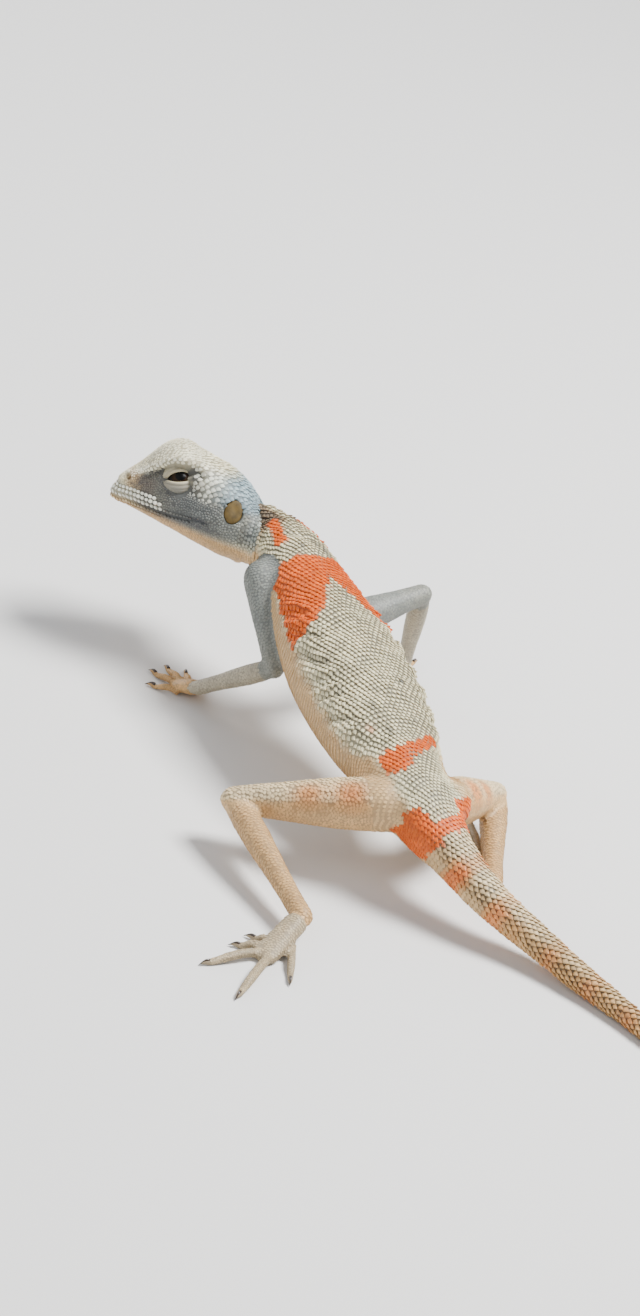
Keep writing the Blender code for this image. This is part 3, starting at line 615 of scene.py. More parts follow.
def normals_of(mesh: bpy.types.Mesh) -> Array:
    """Return the outward direction at each point of a mesh."""
    ways = np.empty(len(mesh.vertices) * 3, np.float32)
    mesh.vertex_normals.foreach_get("vector", ways)
    return ways.reshape(-1, 3).astype(float)


def new_object(name: str, mesh: bpy.types.Mesh) -> bpy.types.Object:
    """Link a new object for a mesh and return it."""
    made = bpy.data.objects.new(name, mesh)
    bpy.context.scene.collection.objects.link(made)
    return made


def deselect() -> None:
    """Deselect everything."""
    bpy.ops.object.select_all(action="DESELECT")


def only(thing: bpy.types.Object) -> None:
    """Make one object the only selected and active one."""
    deselect()
    thing.select_set(True)
    bpy.context.view_layer.objects.active = thing


def apply_modifiers(thing: bpy.types.Object) -> None:
    """Apply every modifier of an object."""
    only(thing)
    for modifier in list(thing.modifiers):
        bpy.ops.object.modifier_apply(modifier=modifier.name)


def face_out(thing: bpy.types.Object) -> None:
    """Turn every face of a closed object outwards."""
    only(thing)
    bpy.ops.object.mode_set(mode="EDIT")
    bpy.ops.mesh.select_all(action="SELECT")
    bpy.ops.mesh.normals_make_consistent(inside=False)
    bpy.ops.object.mode_set(mode="OBJECT")


def tube_faces(rings: int, sides: int, first: int = 0) -> list[list[int]]:
    """Return the faces of a tube of rings, closed at both ends.

    Args:
        rings: number of rings.
        sides: corners of each ring.
        first: number of its first point.
    """
    faces = []
    for ring in range(rings - 1):
        low = first + ring * sides
        for corner in range(sides):
            beside = (corner + 1) % sides
            faces.append([low + corner, low + beside, low + sides + beside, low + sides + corner])
    last = first + (rings - 1) * sides
    return faces + [list(range(last, last + sides)), list(range(first, first + sides))[::-1]]


def mesh_from(name: str, places: Array, faces: list | Array) -> bpy.types.Mesh:
    """Return a mesh from points in millimetres and faces.

    Args:
        name: the mesh's name.
        places: one row for each point.
        faces: lists of point numbers.
    """
    mesh = bpy.data.meshes.new(name)
    mesh.from_pydata((places * MM).tolist(), [], [list(map(int, face)) for face in faces])
    mesh.update()
    return mesh


@dataclass
class Skin:
    """One skin over all the flesh, drawn from merged copies of the solids."""

    body: Anatomy
    marks: Markings
    swell: float = 0.2
    voxel: float = 0.2
    coat_depth: float = 0.16
    head_depth: float = 0.10
    toe_depth: float = 0.03
    triangles: int = 185000
    socket: float = 2.6
    pit_floor: float = 1.6
    bare: tuple = ("eye_left", "eye_right", "ear_left", "ear_right")

    def flesh(self) -> list[str]:
        """Return the names of the solids that the skin stands for."""
        return [name for name in sorted(frame["nodes"]) if name not in self.bare]

    def build(self) -> bpy.types.Object:
        """Make the skin and return it."""
        skin = self.gather()
        only(skin)
        remesh = skin.modifiers.new("skin_over", "REMESH")
        remesh.mode = "VOXEL"
        remesh.voxel_size = self.voxel * MM
        remesh.adaptivity = 0.0
        apply_modifiers(skin)
        self.keep_outer(skin)
        log.info("skin remeshed: %d points", len(skin.data.vertices))
        places = points_of(skin.data)
        edges = np.empty(len(skin.data.edges) * 2, np.int64)
        skin.data.edges.foreach_get("vertices", edges)
        edges = edges.reshape(-1, 2)
        at = self.body.read(places)
        places = self.soften(places, edges, self.joint_weights(places), 34)
        places = self.soften(places, edges, np.full(len(places), 0.5), 26, 1.05)
        move_points(skin.data, places)
        normals = normals_of(skin.data)
        depth = np.where(at.is_part(Part.HAND, Part.FOOT), self.toe_depth, self.coat_depth)
        depth = np.where(at.is_part(Part.HEAD), self.head_depth, depth)
        places = places - normals * (self.swell + depth)[:, None]
        places = self.soften(places, edges, np.full(len(places), 0.5), 3, 1.05)
        move_points(skin.data, places)
        places = places + normals_of(skin.data) * self.relief(at)[:, None]
        places = self.open_ears(self.open_eyes(places))
        places[:, 2] = np.maximum(places[:, 2], 0.0)
        move_points(skin.data, places)
        self.thin(skin, at)
        self.dress(skin)
        return skin

    def gather(self) -> bpy.types.Object:
        """Join swollen, merged copies of the solids, with the eye sockets filled."""
        joined = bmesh.new()
        for name in self.flesh():
            copy = bmesh.new()
            copy.from_mesh(frame["nodes"][name].data)
            bmesh.ops.remove_doubles(copy, verts=copy.verts, dist=0.004 * MM)
            copy.normal_update()
            for vert in copy.verts:
                vert.co += vert.normal * (self.swell * MM)
            data = bpy.data.meshes.new("copy")
            copy.to_mesh(data)
            copy.free()
            joined.from_mesh(data)
            bpy.data.meshes.remove(data)
        for side in (1, -1):
            centre = self.body.head_world(EyeFrame(self.body, side).centre[None])[0]
            bmesh.ops.create_uvsphere(joined, u_segments=24, v_segments=16, radius=self.socket * MM,
                                      matrix=Matrix.Translation(Vector(centre) * MM))
        mesh = bpy.data.meshes.new("skin")
        joined.to_mesh(mesh)
        joined.free()
        return new_object("skin", mesh)

    @staticmethod
    def keep_outer(skin: bpy.types.Object) -> None:
        """Keep only the largest closed surface of the skin."""
        only(skin)
        bpy.ops.object.mode_set(mode="EDIT")
        bpy.ops.mesh.select_all(action="DESELECT")
        bpy.ops.object.mode_set(mode="OBJECT")
        places = points_of(skin.data)
        first = int(places[:, 2].argmax())
        skin.data.vertices[first].select = True
        bpy.ops.object.mode_set(mode="EDIT")
        bpy.ops.mesh.select_mode(type="VERT")
        bpy.ops.mesh.select_linked(delimit=set())
        bpy.ops.mesh.select_all(action="INVERT")
        bpy.ops.mesh.delete(type="VERT")
        bpy.ops.object.mode_set(mode="OBJECT")

    def joint_weights(self, places: Array) -> Array:
        """Return how much each point is smoothed, most where limbs and neck grow from the body."""
        local = places - self.body.shift
        weight = np.full(len(places), 0.02)
        for limb in self.body.limbs.values():
            for joint, reach, share in ((limb.root, 6.0, 0.9), (limb.bend, 3.2, 0.25), (limb.end, 2.4, 0.2)):
                away = np.linalg.norm(local - np.array(joint), axis=1)
                weight = np.maximum(weight, share * ramp(away, reach, reach * 0.45))
        head = self.body.head_local(places)
        edge = past_jowl(head[:, 0], head[:, 2])
        nape = span(edge, -0.8, 4.0, 1.0) * ramp(head[:, 2], 2.0, 4.5)
        below = span(edge, 0.6, 4.0, 0.5)
        near = ramp(np.linalg.norm(head - np.array([23.5, 0.0, 0.5]), axis=1), 10.0, 7.5)
        return np.maximum(weight, 0.8 * near * np.maximum(nape, below))

    @staticmethod
    def soften(places: Array, edges: Array, weight: Array, rounds: int, back: float = 0.0) -> Array:
        """Return the points drawn towards the middle of their neighbours.

        Args:
            places: the points.
            edges: pairs of neighbours.
            weight: share of the way for each point, in each round.
            rounds: number of rounds.
            back: share of each round that is then taken back, about 1 to keep the form's volume.
        """
        count = len(places)
        near, far = edges.T
        ties = np.maximum(np.bincount(near, minlength=count) + np.bincount(far, minlength=count), 1)
        for turn in range(rounds * (2 if back else 1)):
            middle = np.empty_like(places)
            for axis in range(3):
                middle[:, axis] = (np.bincount(near, places[far, axis], count)
                                   + np.bincount(far, places[near, axis], count)) / ties
            share = -back if back and turn % 2 else 1.0
            places = places + (middle - places) * (weight * share)[:, None]
        return places

    def relief(self, at: Reading) -> Array:
        """Return how far the skin stands out at each place: folds of the flank, neck, throat and face."""
        s, low = at.along, from_side(at.angle)
        wander = 1.2 * ripple(at.places, 9.0, 1.0)
        waves = np.sin(2 * math.pi * (s + 0.05 * low + wander) / 2.9) * span(s, 48.0, 60.0, 2.0)
        gorge = ramp(s, 55.2, 57.2) * span(low, -95.0, 66.0, 14.0)
        out = at.is_part(Part.TRUNK) * (0.30 * folds(at) + 0.10 * waves - gorge)
        along, _, rise = at.head.T
        head = at.is_part(Part.HEAD)
        out += head * 0.45 * bell(along, 0.6, 1.5) * ramp(rise, 0.6, 1.6)
        out += head * 0.40 * bell(along, 7.2, 2.2) * ramp(rise, 4.6, 6.6)
        out -= head * 0.30 * bell(rise, 0.55 - 0.12 * np.abs(along - 14.3), 0.30) * span(along, 13.2, 15.8, 0.5)
        out += head * 0.22 * bell(rise, 1.0, 0.7) * span(along, 12.6, 15.6, 0.8)
        out += head * 0.45 * bell(past_jowl(along, rise), -1.1, 0.9) * ramp(rise, 5.5, 3.5)
        gap = over_line(BROW, along, rise)
        side = ramp(np.abs(at.head[:, 1]), 1.6, 3.0) * span(along, 3.8, 12.6, 1.0)
        out += head * side * (0.40 * bell(gap, 0.1, 0.5) - 0.50 * bell(gap, -1.0, 0.55))
        out -= head * 0.22 * bell(rise - self.body.mouth(along)[:, 0], 0.0, 0.15) * ramp(along, 13.8, 12.8)
        nose = np.hypot(along - NOSTRIL[0], rise - NOSTRIL[1])
        out -= head * 0.55 * ramp(nose, 0.42, 0.24) * (np.abs(at.head[:, 1]) > 0.8)
        return out

    def open_eyes(self, places: Array) -> Array:
        """Return the points with a pit sunk behind each eye, which the lids cover."""
        for side in (1, -1):
            eye = EyeFrame(self.body, side)
            local = self.body.head_local(places)
            angle, reach = eye.off_axis(local)
            inside = (angle < LIDS.pit) & (reach < 3.2)
            sunk = eye.centre + unit(local - eye.centre) * self.pit_floor
            places = np.where(inside[:, None], self.body.head_world(sunk), places)
        return places

    def open_ears(self, places: Array) -> Array:
        """Return the points with each ear sunk to an oval cup with a flat floor."""
        local = self.body.head_local(places)
        for side in (1, -1):
            middle, axes = self.body.ear_axes(side)
            own, away = self.body.in_ear(local, side)
            deepest = 0.05 - EAR_DEPTH * ramp(away, 1.06, 0.86)
            cup = (away < 1.06) & (own[:, 1] > -2.5) & (own[:, 1] > deepest)
            own[:, 1] = np.where(cup, deepest, own[:, 1])
            local = np.where(cup[:, None], own @ axes + middle, local)
        return self.body.head_world(local)

    def thin(self, skin: bpy.types.Object, at: Reading) -> None:
        """Take triangles away from trunk, tail and limbs, and keep them on head, hands and feet."""
        group = skin.vertex_groups.new(name="coarse")
        fine = at.is_part(Part.HEAD, Part.HAND, Part.FOOT)
        group.add(np.nonzero(~fine)[0].tolist(), 1.0, "REPLACE")
        group.add(np.nonzero(fine)[0].tolist(), 0.25, "REPLACE")
        decimate = skin.modifiers.new("thin", "DECIMATE")
        decimate.vertex_group = "coarse"
        count = sum(len(face.vertices) - 2 for face in skin.data.polygons)
        decimate.ratio = min(1.0, self.triangles / count)
        decimate.use_collapse_triangulate = True
        apply_modifiers(skin)
        skin.vertex_groups.clear()
        log.info("skin thinned from %d to %d triangles", count, len(skin.data.polygons))

    def dress(self, skin: bpy.types.Object) -> None:
        """Store the markings on the skin and give it its place on the frame."""
        at = self.body.read(points_of(skin.data))
        marks = self.marks.marks(at)
        put_colour(skin.data, "marks", marks)
        depth = np.array([GAPS[kind] for kind in Kind])
        netted = depth[ScalePlan(self.body).kinds(at)] * (1 - 0.75 * marks[:, 0])
        netted = netted * np.where(at.is_part(Part.TRUNK), 0.35 + 0.65 * ramp(above_flank(at), 0.0, 26.0), 1.0)
        put_colour(skin.data, "gap", np.column_stack([netted] * 4))
        skin.data.shade_smooth()
        skin.data.materials.clear()
        skin.data.materials.append(Hide("skin_hide", False).material())
        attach(skin, "root")
        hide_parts(*self.flesh())


@dataclass(frozen=True)
class LidSizes:
    """Sizes of the lids, in millimetres and degrees, round the eye's own axis."""

    tilt: float = 33.0
    pit: float = 70.0
    edge: float = 82.0
    slope: float = 24.0
    half_length: float = 2.05
    upper: float = 0.62
    lower: float = 1.02
    rim_thickness: float = 0.26
    height: float = 0.80
    reach: float = 2.05


LIDS = LidSizes()


def attribute(tree: bpy.types.NodeTree, name: str) -> bpy.types.Node:
    """Return a node that reads a stored attribute."""
    node = tree.nodes.new("ShaderNodeAttribute")
    node.attribute_name = name
    return node


def noise(tree: bpy.types.NodeTree, place: bpy.types.NodeSocket, scale: float) -> bpy.types.NodeSocket:
    """Return noise of a scale, read at a place."""
    node = tree.nodes.new("ShaderNodeTexNoise")
    node.inputs["Scale"].default_value = scale
    node.inputs["Detail"].default_value = 3.0
    tree.links.new(place, node.inputs["Vector"])
    return node.outputs["Fac"]


def feed(tree: bpy.types.NodeTree, value: object, socket: bpy.types.NodeSocket) -> None:
    """Link a socket to another, or set it to a colour."""
    if isinstance(value, bpy.types.NodeSocket):
        tree.links.new(value, socket)
    else:
        socket.default_value = (*value, 1.0)


def blend(tree: bpy.types.NodeTree, share: bpy.types.NodeSocket, first: object,
          second: object) -> bpy.types.NodeSocket:
    """Return first mixed towards second by a share."""
    node = tree.nodes.new("ShaderNodeMix")
    node.data_type = "RGBA"
    tree.links.new(share, node.inputs["Factor"])
    feed(tree, first, node.inputs["A"])
    feed(tree, second, node.inputs["B"])
    return node.outputs["Result"]


def multiply(tree: bpy.types.NodeTree, first: object, second: object) -> bpy.types.NodeSocket:
    """Return two colours multiplied."""
    node = tree.nodes.new("ShaderNodeMix")
    node.data_type = "RGBA"
    node.blend_type = "MULTIPLY"
    node.inputs["Factor"].default_value = 1.0
    feed(tree, first, node.inputs["A"])
    feed(tree, second, node.inputs["B"])
    return node.outputs["Result"]


def mix(tree: bpy.types.NodeTree, value: bpy.types.NodeSocket, first: object, second: object,
        low: float, high: float) -> bpy.types.NodeSocket:
    """Return first to second as a value goes from low to high."""
    node = tree.nodes.new("ShaderNodeMapRange")
    node.inputs["From Min"].default_value = low
    node.inputs["From Max"].default_value = high
    tree.links.new(value, node.inputs["Value"])
    return blend(tree, node.outputs["Result"], first, second)


@dataclass
class Hide:
    """The hide's finish: colours mixed by the stored markings, with fine procedural grain."""

    name: str
    scales: bool
    palette: Palette = Palette()
    roughness: float = 0.55

    def material(self) -> bpy.types.Material:
        """Build the material and return it."""
        made = bpy.data.materials.new(self.name)
        made.use_nodes = True
        tree = made.node_tree
        shader = tree.nodes["Principled BSDF"]
        marks = attribute(tree, "marks")
        place = tree.nodes.new("ShaderNodeTexCoord").outputs["Object"]
        cloud = noise(tree, place, 260.0)
        grain = noise(tree, place, 1900.0)
        channels = tree.nodes.new("ShaderNodeSeparateColor")
        tree.links.new(marks.outputs["Color"], channels.inputs["Color"])
        warm = mix(tree, grain, self.palette.orange, self.palette.rust, 0.15, 0.95)
        colour = blend(tree, channels.outputs["Blue"], self.palette.cream, self.palette.tan)
        colour = blend(tree, channels.outputs["Green"], colour, self.palette.blue)
        colour = blend(tree, marks.outputs["Alpha"], colour, self.palette.grey)
        colour = blend(tree, channels.outputs["Red"], colour, warm)
        if self.scales:
            colour = self.scale_tones(tree, colour, cloud)
        else:
            gap = attribute(tree, "gap").outputs["Fac"]
            shade = blend(tree, gap, (0.84, 0.82, 0.79), (0.23, 0.22, 0.20))
            colour = multiply(tree, colour, shade)
        tree.links.new(colour, shader.inputs["Base Color"])
        shader.inputs["Roughness"].default_value = self.roughness
        shader.inputs["Specular IOR Level"].default_value = 0.42
        shader.inputs["Subsurface Weight"].default_value = 0.06
        shader.inputs["Subsurface Radius"].default_value = (0.0012, 0.0006, 0.0004)
        shader.inputs["Subsurface Scale"].default_value = 1.0
        bump = tree.nodes.new("ShaderNodeBump")
        bump.inputs["Strength"].default_value = 0.35
        bump.inputs["Distance"].default_value = 0.00006
        tree.links.new(grain, bump.inputs["Height"])
        tree.links.new(bump.outputs["Normal"], shader.inputs["Normal"])
        return made

    def scale_tones(self, tree: bpy.types.NodeTree, colour: bpy.types.NodeSocket,
                    cloud: bpy.types.NodeSocket) -> bpy.types.NodeSocket:
        """Return the colour with each scale's own tone, a keel made paler as a painted highlight, a rim darkened as the
        skin's dark net together with painted shade, and a root darkened as painted shade under the tip of the scale in
        front.

        Args:
            tree: the material's nodes.
            colour: the hide's colour.
            cloud: broad noise.
        """
        coat = attribute(tree, "coat")
        parts = tree.nodes.new("ShaderNodeSeparateColor")
        tree.links.new(coat.outputs["Color"], parts.inputs["Color"])
        colour = blend(tree, coat.outputs["Alpha"], colour, self.palette.pale)
        tone = mix(tree, parts.outputs["Red"], (0.80, 0.79, 0.77), (1.16, 1.15, 1.12), 0.0, 1.0)
        colour = multiply(tree, colour, tone)
        broad = mix(tree, cloud, (0.88, 0.88, 0.88), (1.08, 1.07, 1.05), 0.35, 0.65)
        colour = multiply(tree, colour, broad)
        # Keel paler as a painted highlight; rim darker as the dark net between scales together with painted shade.
        rim = mix(tree, parts.outputs["Blue"], (1.08, 1.07, 1.05), (0.42, 0.40, 0.36), 0.35, 1.0)
        colour = multiply(tree, colour, rim)
        # Root darker as painted shade under the tip of the scale in front.
        root = mix(tree, parts.outputs["Green"], (0.55, 0.53, 0.50), (1.08, 1.07, 1.05), 0.0, 0.5)
        return multiply(tree, colour, root)


@dataclass
class EyeFrame:
    """One eye's own axes: out of the head, along the slit and across it."""

    body: Anatomy
    side: int

    def __post_init__(self) -> None:
        """Lay out the axes in the head's own coordinates."""
        tilt, slope = math.radians(LIDS.tilt), math.radians(LIDS.slope)
        out = np.array([0.0, self.side * math.cos(tilt), math.sin(tilt)])
        up = np.array([0.0, -self.side * math.sin(tilt), math.cos(tilt)])
        back = np.array([1.0, 0.0, 0.0])
        self.axes = np.array([math.cos(slope) * back + math.sin(slope) * up,
                              -math.sin(slope) * back + math.cos(slope) * up, out])
        self.centre = np.array([self.body.eye[0], self.side * self.body.eye[1], self.body.eye[2]])

    def off_axis(self, local: Array) -> tuple[Array, Array]:
        """Return the angle off the eye's axis, in degrees, and the distance from its centre."""
        offset = local - self.centre
        reach = np.linalg.norm(offset, axis=1)
        return np.degrees(np.arccos(np.clip(offset @ self.axes[2] / np.maximum(reach, 1e-6), -1, 1))), reach

    def places(self, theta: Array, phi: Array, radius: Array) -> Array:
        """Return world places from polar angles in radians and radii in millimetres."""
        local = np.stack([np.sin(theta) * np.cos(phi), np.sin(theta) * np.sin(phi), np.cos(theta)], -1)
        local = (local * np.broadcast_to(radius, theta.shape)[..., None]) @ self.axes + self.centre
        return self.body.head_world(local.reshape(-1, 3))

    @staticmethod
    def rim(phi: Array) -> Array:
        """Return the slit's edge as an angle from the eye's axis, for each direction round it."""
        upper = np.sin(phi) > 0
        half = np.where(upper, LIDS.upper, LIDS.lower)
        low = np.full(len(phi), 0.0)
        high = np.full(len(phi), LIDS.half_length)
        for _ in range(30):
            reach = (low + high) / 2
            across = np.abs(reach * np.sin(phi))
            along = np.clip(np.abs(reach * np.cos(phi)) / LIDS.half_length, 0, 1)
            inside = across < half * (1 - along ** 2.2) ** 0.8
            low = np.where(inside, reach, low)
            high = np.where(inside, high, reach)
        return np.arcsin(np.clip(low / LIDS.reach, 0, 1))


@dataclass
class Lids:
    """The lids of both eyes: thick, wrinkled shells that leave a sloping slit over the eye."""

    body: Anatomy
    marks: Markings
    columns: int = 120
    wrinkle: float = 0.035

    def build(self) -> list[bpy.types.Object]:
        """Make both pairs of lids and return them."""
        return [self.lid("left", 1), self.lid("right", -1)]

    def lid(self, word: str, side: int) -> bpy.types.Object:
        """Make one eye's lids and return them.

        Args:
            word: left or right.
            side: 1 for the left eye and -1 for the right.
        """
        eye = EyeFrame(self.body, side)
        phi = np.linspace(0, 2 * math.pi, self.columns, endpoint=False)
        rim = eye.rim(phi)
        edge = math.radians(LIDS.edge)
        rows = []
        inner = self.body.eye_radius + 0.03
        for share in (1.0, 0.5, 0.12):
            rows.append((rim + (edge - rim) * share, np.full(self.columns, inner)))
        thick = LIDS.rim_thickness
        for turn in (0.15, 0.4, 0.65, 0.9):
            angle = math.pi * turn
            rows.append((rim + (0.012 - math.sin(angle) * 0.05 + 0.03 * turn),
                         inner + thick * (1 - math.cos(angle)) / 2 + 0.01))
        for share in np.linspace(0.04, 1.0, 26):
            theta = rim + (edge - rim) * share
            away = (theta - rim) * LIDS.reach
            lift = thick + (LIDS.height - thick) * np.minimum(share / 0.55, 1.0) ** 0.8
            lift = lift + self.wrinkle * np.cos(2 * math.pi * away / 0.36) * ramp(share, 0.0, 0.2)
            lift = lift - 0.10 * bell(away, 0.42, 0.10) - 0.55 * ramp(share, 0.72, 1.0)
            rows.append((theta, inner + lift))
        grid = np.stack([eye.places(theta, phi, np.broadcast_to(radius, phi.shape)) for theta, radius in rows])
        count = self.columns
        faces = []
        for row in range(len(rows)):
            after = (row + 1) % len(rows)
            for column in range(count):
                beside = (column + 1) % count
                face = [row * count + column, row * count + beside, after * count + beside, after * count + column]
                faces.append(face if side > 0 else face[::-1])
        mesh = mesh_from("lids_" + word, grid.reshape(-1, 3), faces)
        made = new_object("lids_" + word, mesh)
        face_out(made)
        mesh.shade_smooth()
        marks = self.marks.marks(self.body.read(points_of(mesh)))
        rows_of = np.repeat(np.arange(len(rows)), count)
        pale = ((rows_of >= 2) & (rows_of <= 8)).astype(float)
        upper = np.tile(ramp(np.sin(phi), -0.15, 0.25), len(rows))
        marks[:, 3] = (0.62 - 0.34 * upper) * (1 - 0.8 * pale)
        marks[:, 2] = 0.12
        put_colour(mesh, "marks", marks)
        mesh.materials.append(Hide("lid_hide", False, roughness=0.5).material())
        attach(made, "root")
        return made


@dataclass(frozen=True)
class Gloss:
    """A plain glossy finish of one colour, clear-coated where it is wet."""

    name: str
    colour: tuple
    roughness: float
    coat: float = 0.0
    specular: float = 0.5

    def material(self) -> bpy.types.Material:
        """Build the material and return it."""
        made = bpy.data.materials.new(self.name)
        made.use_nodes = True
        shader = made.node_tree.nodes["Principled BSDF"]
        shader.inputs["Base Color"].default_value = (*self.colour, 1.0)
        shader.inputs["Roughness"].default_value = self.roughness
        shader.inputs["Specular IOR Level"].default_value = self.specular
        shader.inputs["Coat Weight"].default_value = self.coat
        shader.inputs["Coat Roughness"].default_value = 0.03
        return made


@dataclass
class Eyes:
    """The two eyes: dark, glossy balls with a brown iris round the pupil."""

    body: Anatomy

    def build(self) -> list[bpy.types.Object]:
        """Make both eyes and return them."""
        made = []
        for word, side in (("left", 1), ("right", -1)):
            eye = EyeFrame(self.body, side)
            centre = self.body.head_world(eye.centre[None])[0]
            deselect()
            bpy.ops.mesh.primitive_uv_sphere_add(segments=72, ring_count=48, radius=self.body.eye_radius * MM,
                                                 location=(0, 0, 0))
            ball = bpy.context.object
            ball.name = "eye_" + word + "_ball"
            places = points_of(ball.data)
            turned = places @ eye.axes @ self.body.head_axes
            move_points(ball.data, turned + centre)
            ball.data.shade_smooth()
            off = np.degrees(np.arccos(np.clip(places[:, 2] / self.body.eye_radius, -1, 1)))
            rings = ramp(off, 26.0, 23.5)
            iris = ramp(off, 47.0, 42.0)
            put_colour(ball.data, "iris", np.column_stack([rings, iris, off / 180.0, np.ones(len(off))]))
            ball.data.materials.append(self.material())
            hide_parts("eye_" + word)
            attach(ball, "root")
            made.append(ball)
        return made

    @staticmethod
    def material() -> bpy.types.Material:
        """Return the finish of the eye: black pupil, dark brown iris and a soft shine."""
        made = Gloss("eye_wet", (0.004, 0.003, 0.002), 0.30, specular=0.08).material()
        tree = made.node_tree
        parts = tree.nodes.new("ShaderNodeSeparateColor")
        tree.links.new(attribute(tree, "iris").outputs["Color"], parts.inputs["Color"])
        colour = blend(tree, parts.outputs["Green"], (0.010, 0.008, 0.006), (0.022, 0.012, 0.006))
        colour = blend(tree, parts.outputs["Red"], colour, (0.003, 0.003, 0.003))
        tree.links.new(colour, tree.nodes["Principled BSDF"].inputs["Base Color"])
        return made


@dataclass
class Drums:
    """The two eardrums: thin, slightly domed skins at the bottom of the ear cups."""

    body: Anatomy
    half_thickness: float = 0.26

    def build(self) -> list[bpy.types.Object]:
        """Make both drums and return them."""
        return [self.drum("left", 1), self.drum("right", -1)]

    def drum(self, word: str, side: int) -> bpy.types.Object:
        """Make one drum over the solid that marks its place, and return it.

        Args:
            word: left or right.
            side: 1 for the left ear and -1 for the right.
        """
        deselect()
        bpy.ops.mesh.primitive_uv_sphere_add(segments=48, ring_count=24, radius=MM, location=(0, 0, 0))
        made = bpy.context.object
        made.name = "eardrum_" + word
        ball = points_of(made.data)
        sag = 0.14 * bell(np.hypot(ball[:, 0] - 0.1, ball[:, 1] - 0.15), 0.0, 0.5) * (ball[:, 2] > 0)
        own = np.column_stack([ball[:, 0] * EAR_HALF[0], ball[:, 2] * self.half_thickness - sag - EAR_DEPTH,
                               ball[:, 1] * EAR_HALF[1]])
        middle, axes = self.body.ear_axes(side)
        move_points(made.data, self.body.head_world(own @ axes + middle))
        face_out(made)
        made.data.shade_smooth()
        made.data.materials.append(self.material())
        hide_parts("ear_" + word)
        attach(made, "root")
        return made

    @staticmethod
    def material() -> bpy.types.Material:
        """Return the drum's finish: olive-brown and almost dull."""
        made = Gloss("drum_skin", (0.13, 0.085, 0.035), 0.6, specular=0.2).material()
        tree = made.node_tree
        place = tree.nodes.new("ShaderNodeTexCoord").outputs["Object"]
        cloud = noise(tree, place, 900.0)
        colour = mix(tree, cloud, (0.055, 0.036, 0.010), (0.115, 0.074, 0.020), 0.3, 0.7)
        tree.links.new(colour, tree.nodes["Principled BSDF"].inputs["Base Color"])
        return made


@dataclass
class Nostrils:
    """The two nostrils: small raised rings round pits sunk in the snout, each pit closed by a near-black floor that is
    painted shade.
    """

    body: Anatomy
    marks: Markings
    sides: int = 20
    reach: float = 0.62
    across: float = 1.55
    profile: tuple = ((0.52, -0.30), (0.52, -0.02), (0.46, 0.09), (0.38, 0.13), (0.30, 0.05), (0.26, -0.10),
                      (0.22, -0.35))

    def build(self, ground: "Ground") -> list[bpy.types.Object]:
        """Make both nostrils on the skin and return them."""
        return [self.nostril("left", 1, ground), self.nostril("right", -1, ground)]

    def nostril(self, word: str, side: int, ground: "Ground") -> bpy.types.Object:
        """Make one nostril and return it.

        Args:
            word: left or right.
            side: 1 for the left and -1 for the right.
            ground: the skin to set it in.
        """
        ring = [(NOSTRIL[0] + self.reach * math.cos(turn), side * self.across, NOSTRIL[1] + self.reach * math.sin(turn))
                for turn in np.linspace(0, 2 * math.pi, 9)[:-1]]
        around, normals = ground.drop(self.body.head_world(np.array(ring)))
        centre, out = around.mean(0), unit(normals.mean(0))
        first = unit(np.cross(out, [0.0, 0.0, 1.0]))
        second = np.cross(out, first)
        turns = np.arange(self.sides) * 2 * math.pi / self.sides
        places = [centre + (first * math.cos(t) + second * math.sin(t)) * reach + out * height
                  for reach, height in self.profile for t in turns]
        mesh = mesh_from("nostril_" + word, np.array(places), tube_faces(len(self.profile), self.sides))
        made = new_object("nostril_" + word, mesh)
        face_out(made)
        mesh.shade_smooth()
        marks = self.marks.marks(self.body.read(points_of(mesh)))
        marks[:, 3] = 0.1
        put_colour(mesh, "marks", marks)
        mesh.materials.append(Hide("nostril_hide", False, roughness=0.5).material())
        # Near-black finish of the pit's inner walls and floor: painted shade inside the nostril.
        mesh.materials.append(Gloss("nostril_pit_painted_shade", (0.008, 0.006, 0.005), 0.7).material())
        inner = 4 * self.sides
        for face in mesh.polygons:
            if min(face.vertices) >= inner:
                face.material_index = 1
        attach(made, "root")
        return made


@dataclass
class Claws:
    """The claws: short dark cones that hook down to the floor from the toe tips."""

    body: Anatomy
    rings: int = 8
    sides: int = 10
    radius: float = 0.30

    def build(self) -> bpy.types.Object:
        """Make all the claws as one mesh and return it."""
        places, faces = [], []
        for name, limb in self.body.limbs.items():
            for root, tip, _ in self.body.toes(limb, name):
                way = unit((tip - root) * np.array([1.0, 1.0, 0.0]))
                side = np.array([-way[1], way[0], 0.0])
                start = tip * np.array([1.0, 1.0, 0.0]) + self.body.shift * np.array([1.0, 1.0, 0.0])
                first = len(places)
                for ring in range(self.rings):
                    share = ring / (self.rings - 1)
                    size = self.radius * (1 - share) ** 0.75 + 0.02
                    height = 0.62 + 0.16 * math.sin(math.pi * min(share * 1.25, 1.0)) - 0.42 * share ** 2.2
                    middle = start + way * (CLAW_LENGTH * (-0.18 + 1.12 * share)) + np.array([0, 0, height])
                    for corner in range(self.sides):
                        turn = 2 * math.pi * corner / self.sides
                        lift = math.sin(turn) * size * 1.05
                        places.append(middle + side * (math.cos(turn) * size * 0.8) + np.array([0, 0, lift]))
                faces += tube_faces(self.rings, self.sides, first)
        mesh = mesh_from("claws", np.array(places), faces)
        mesh.shade_smooth()
        made = new_object("claws", mesh)
        face_out(made)
        mesh.materials.append(Gloss("claw_horn", (0.035, 0.022, 0.014), 0.3, 0.2).material())
        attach(made, "root")
        return made


@dataclass(frozen=True)
class Prototype:
    """The shape of one scale, in units of its own size: x to the tail, y across, z out of the skin."""

    places: Array
    faces: tuple
    reach: Array
    rim: Array


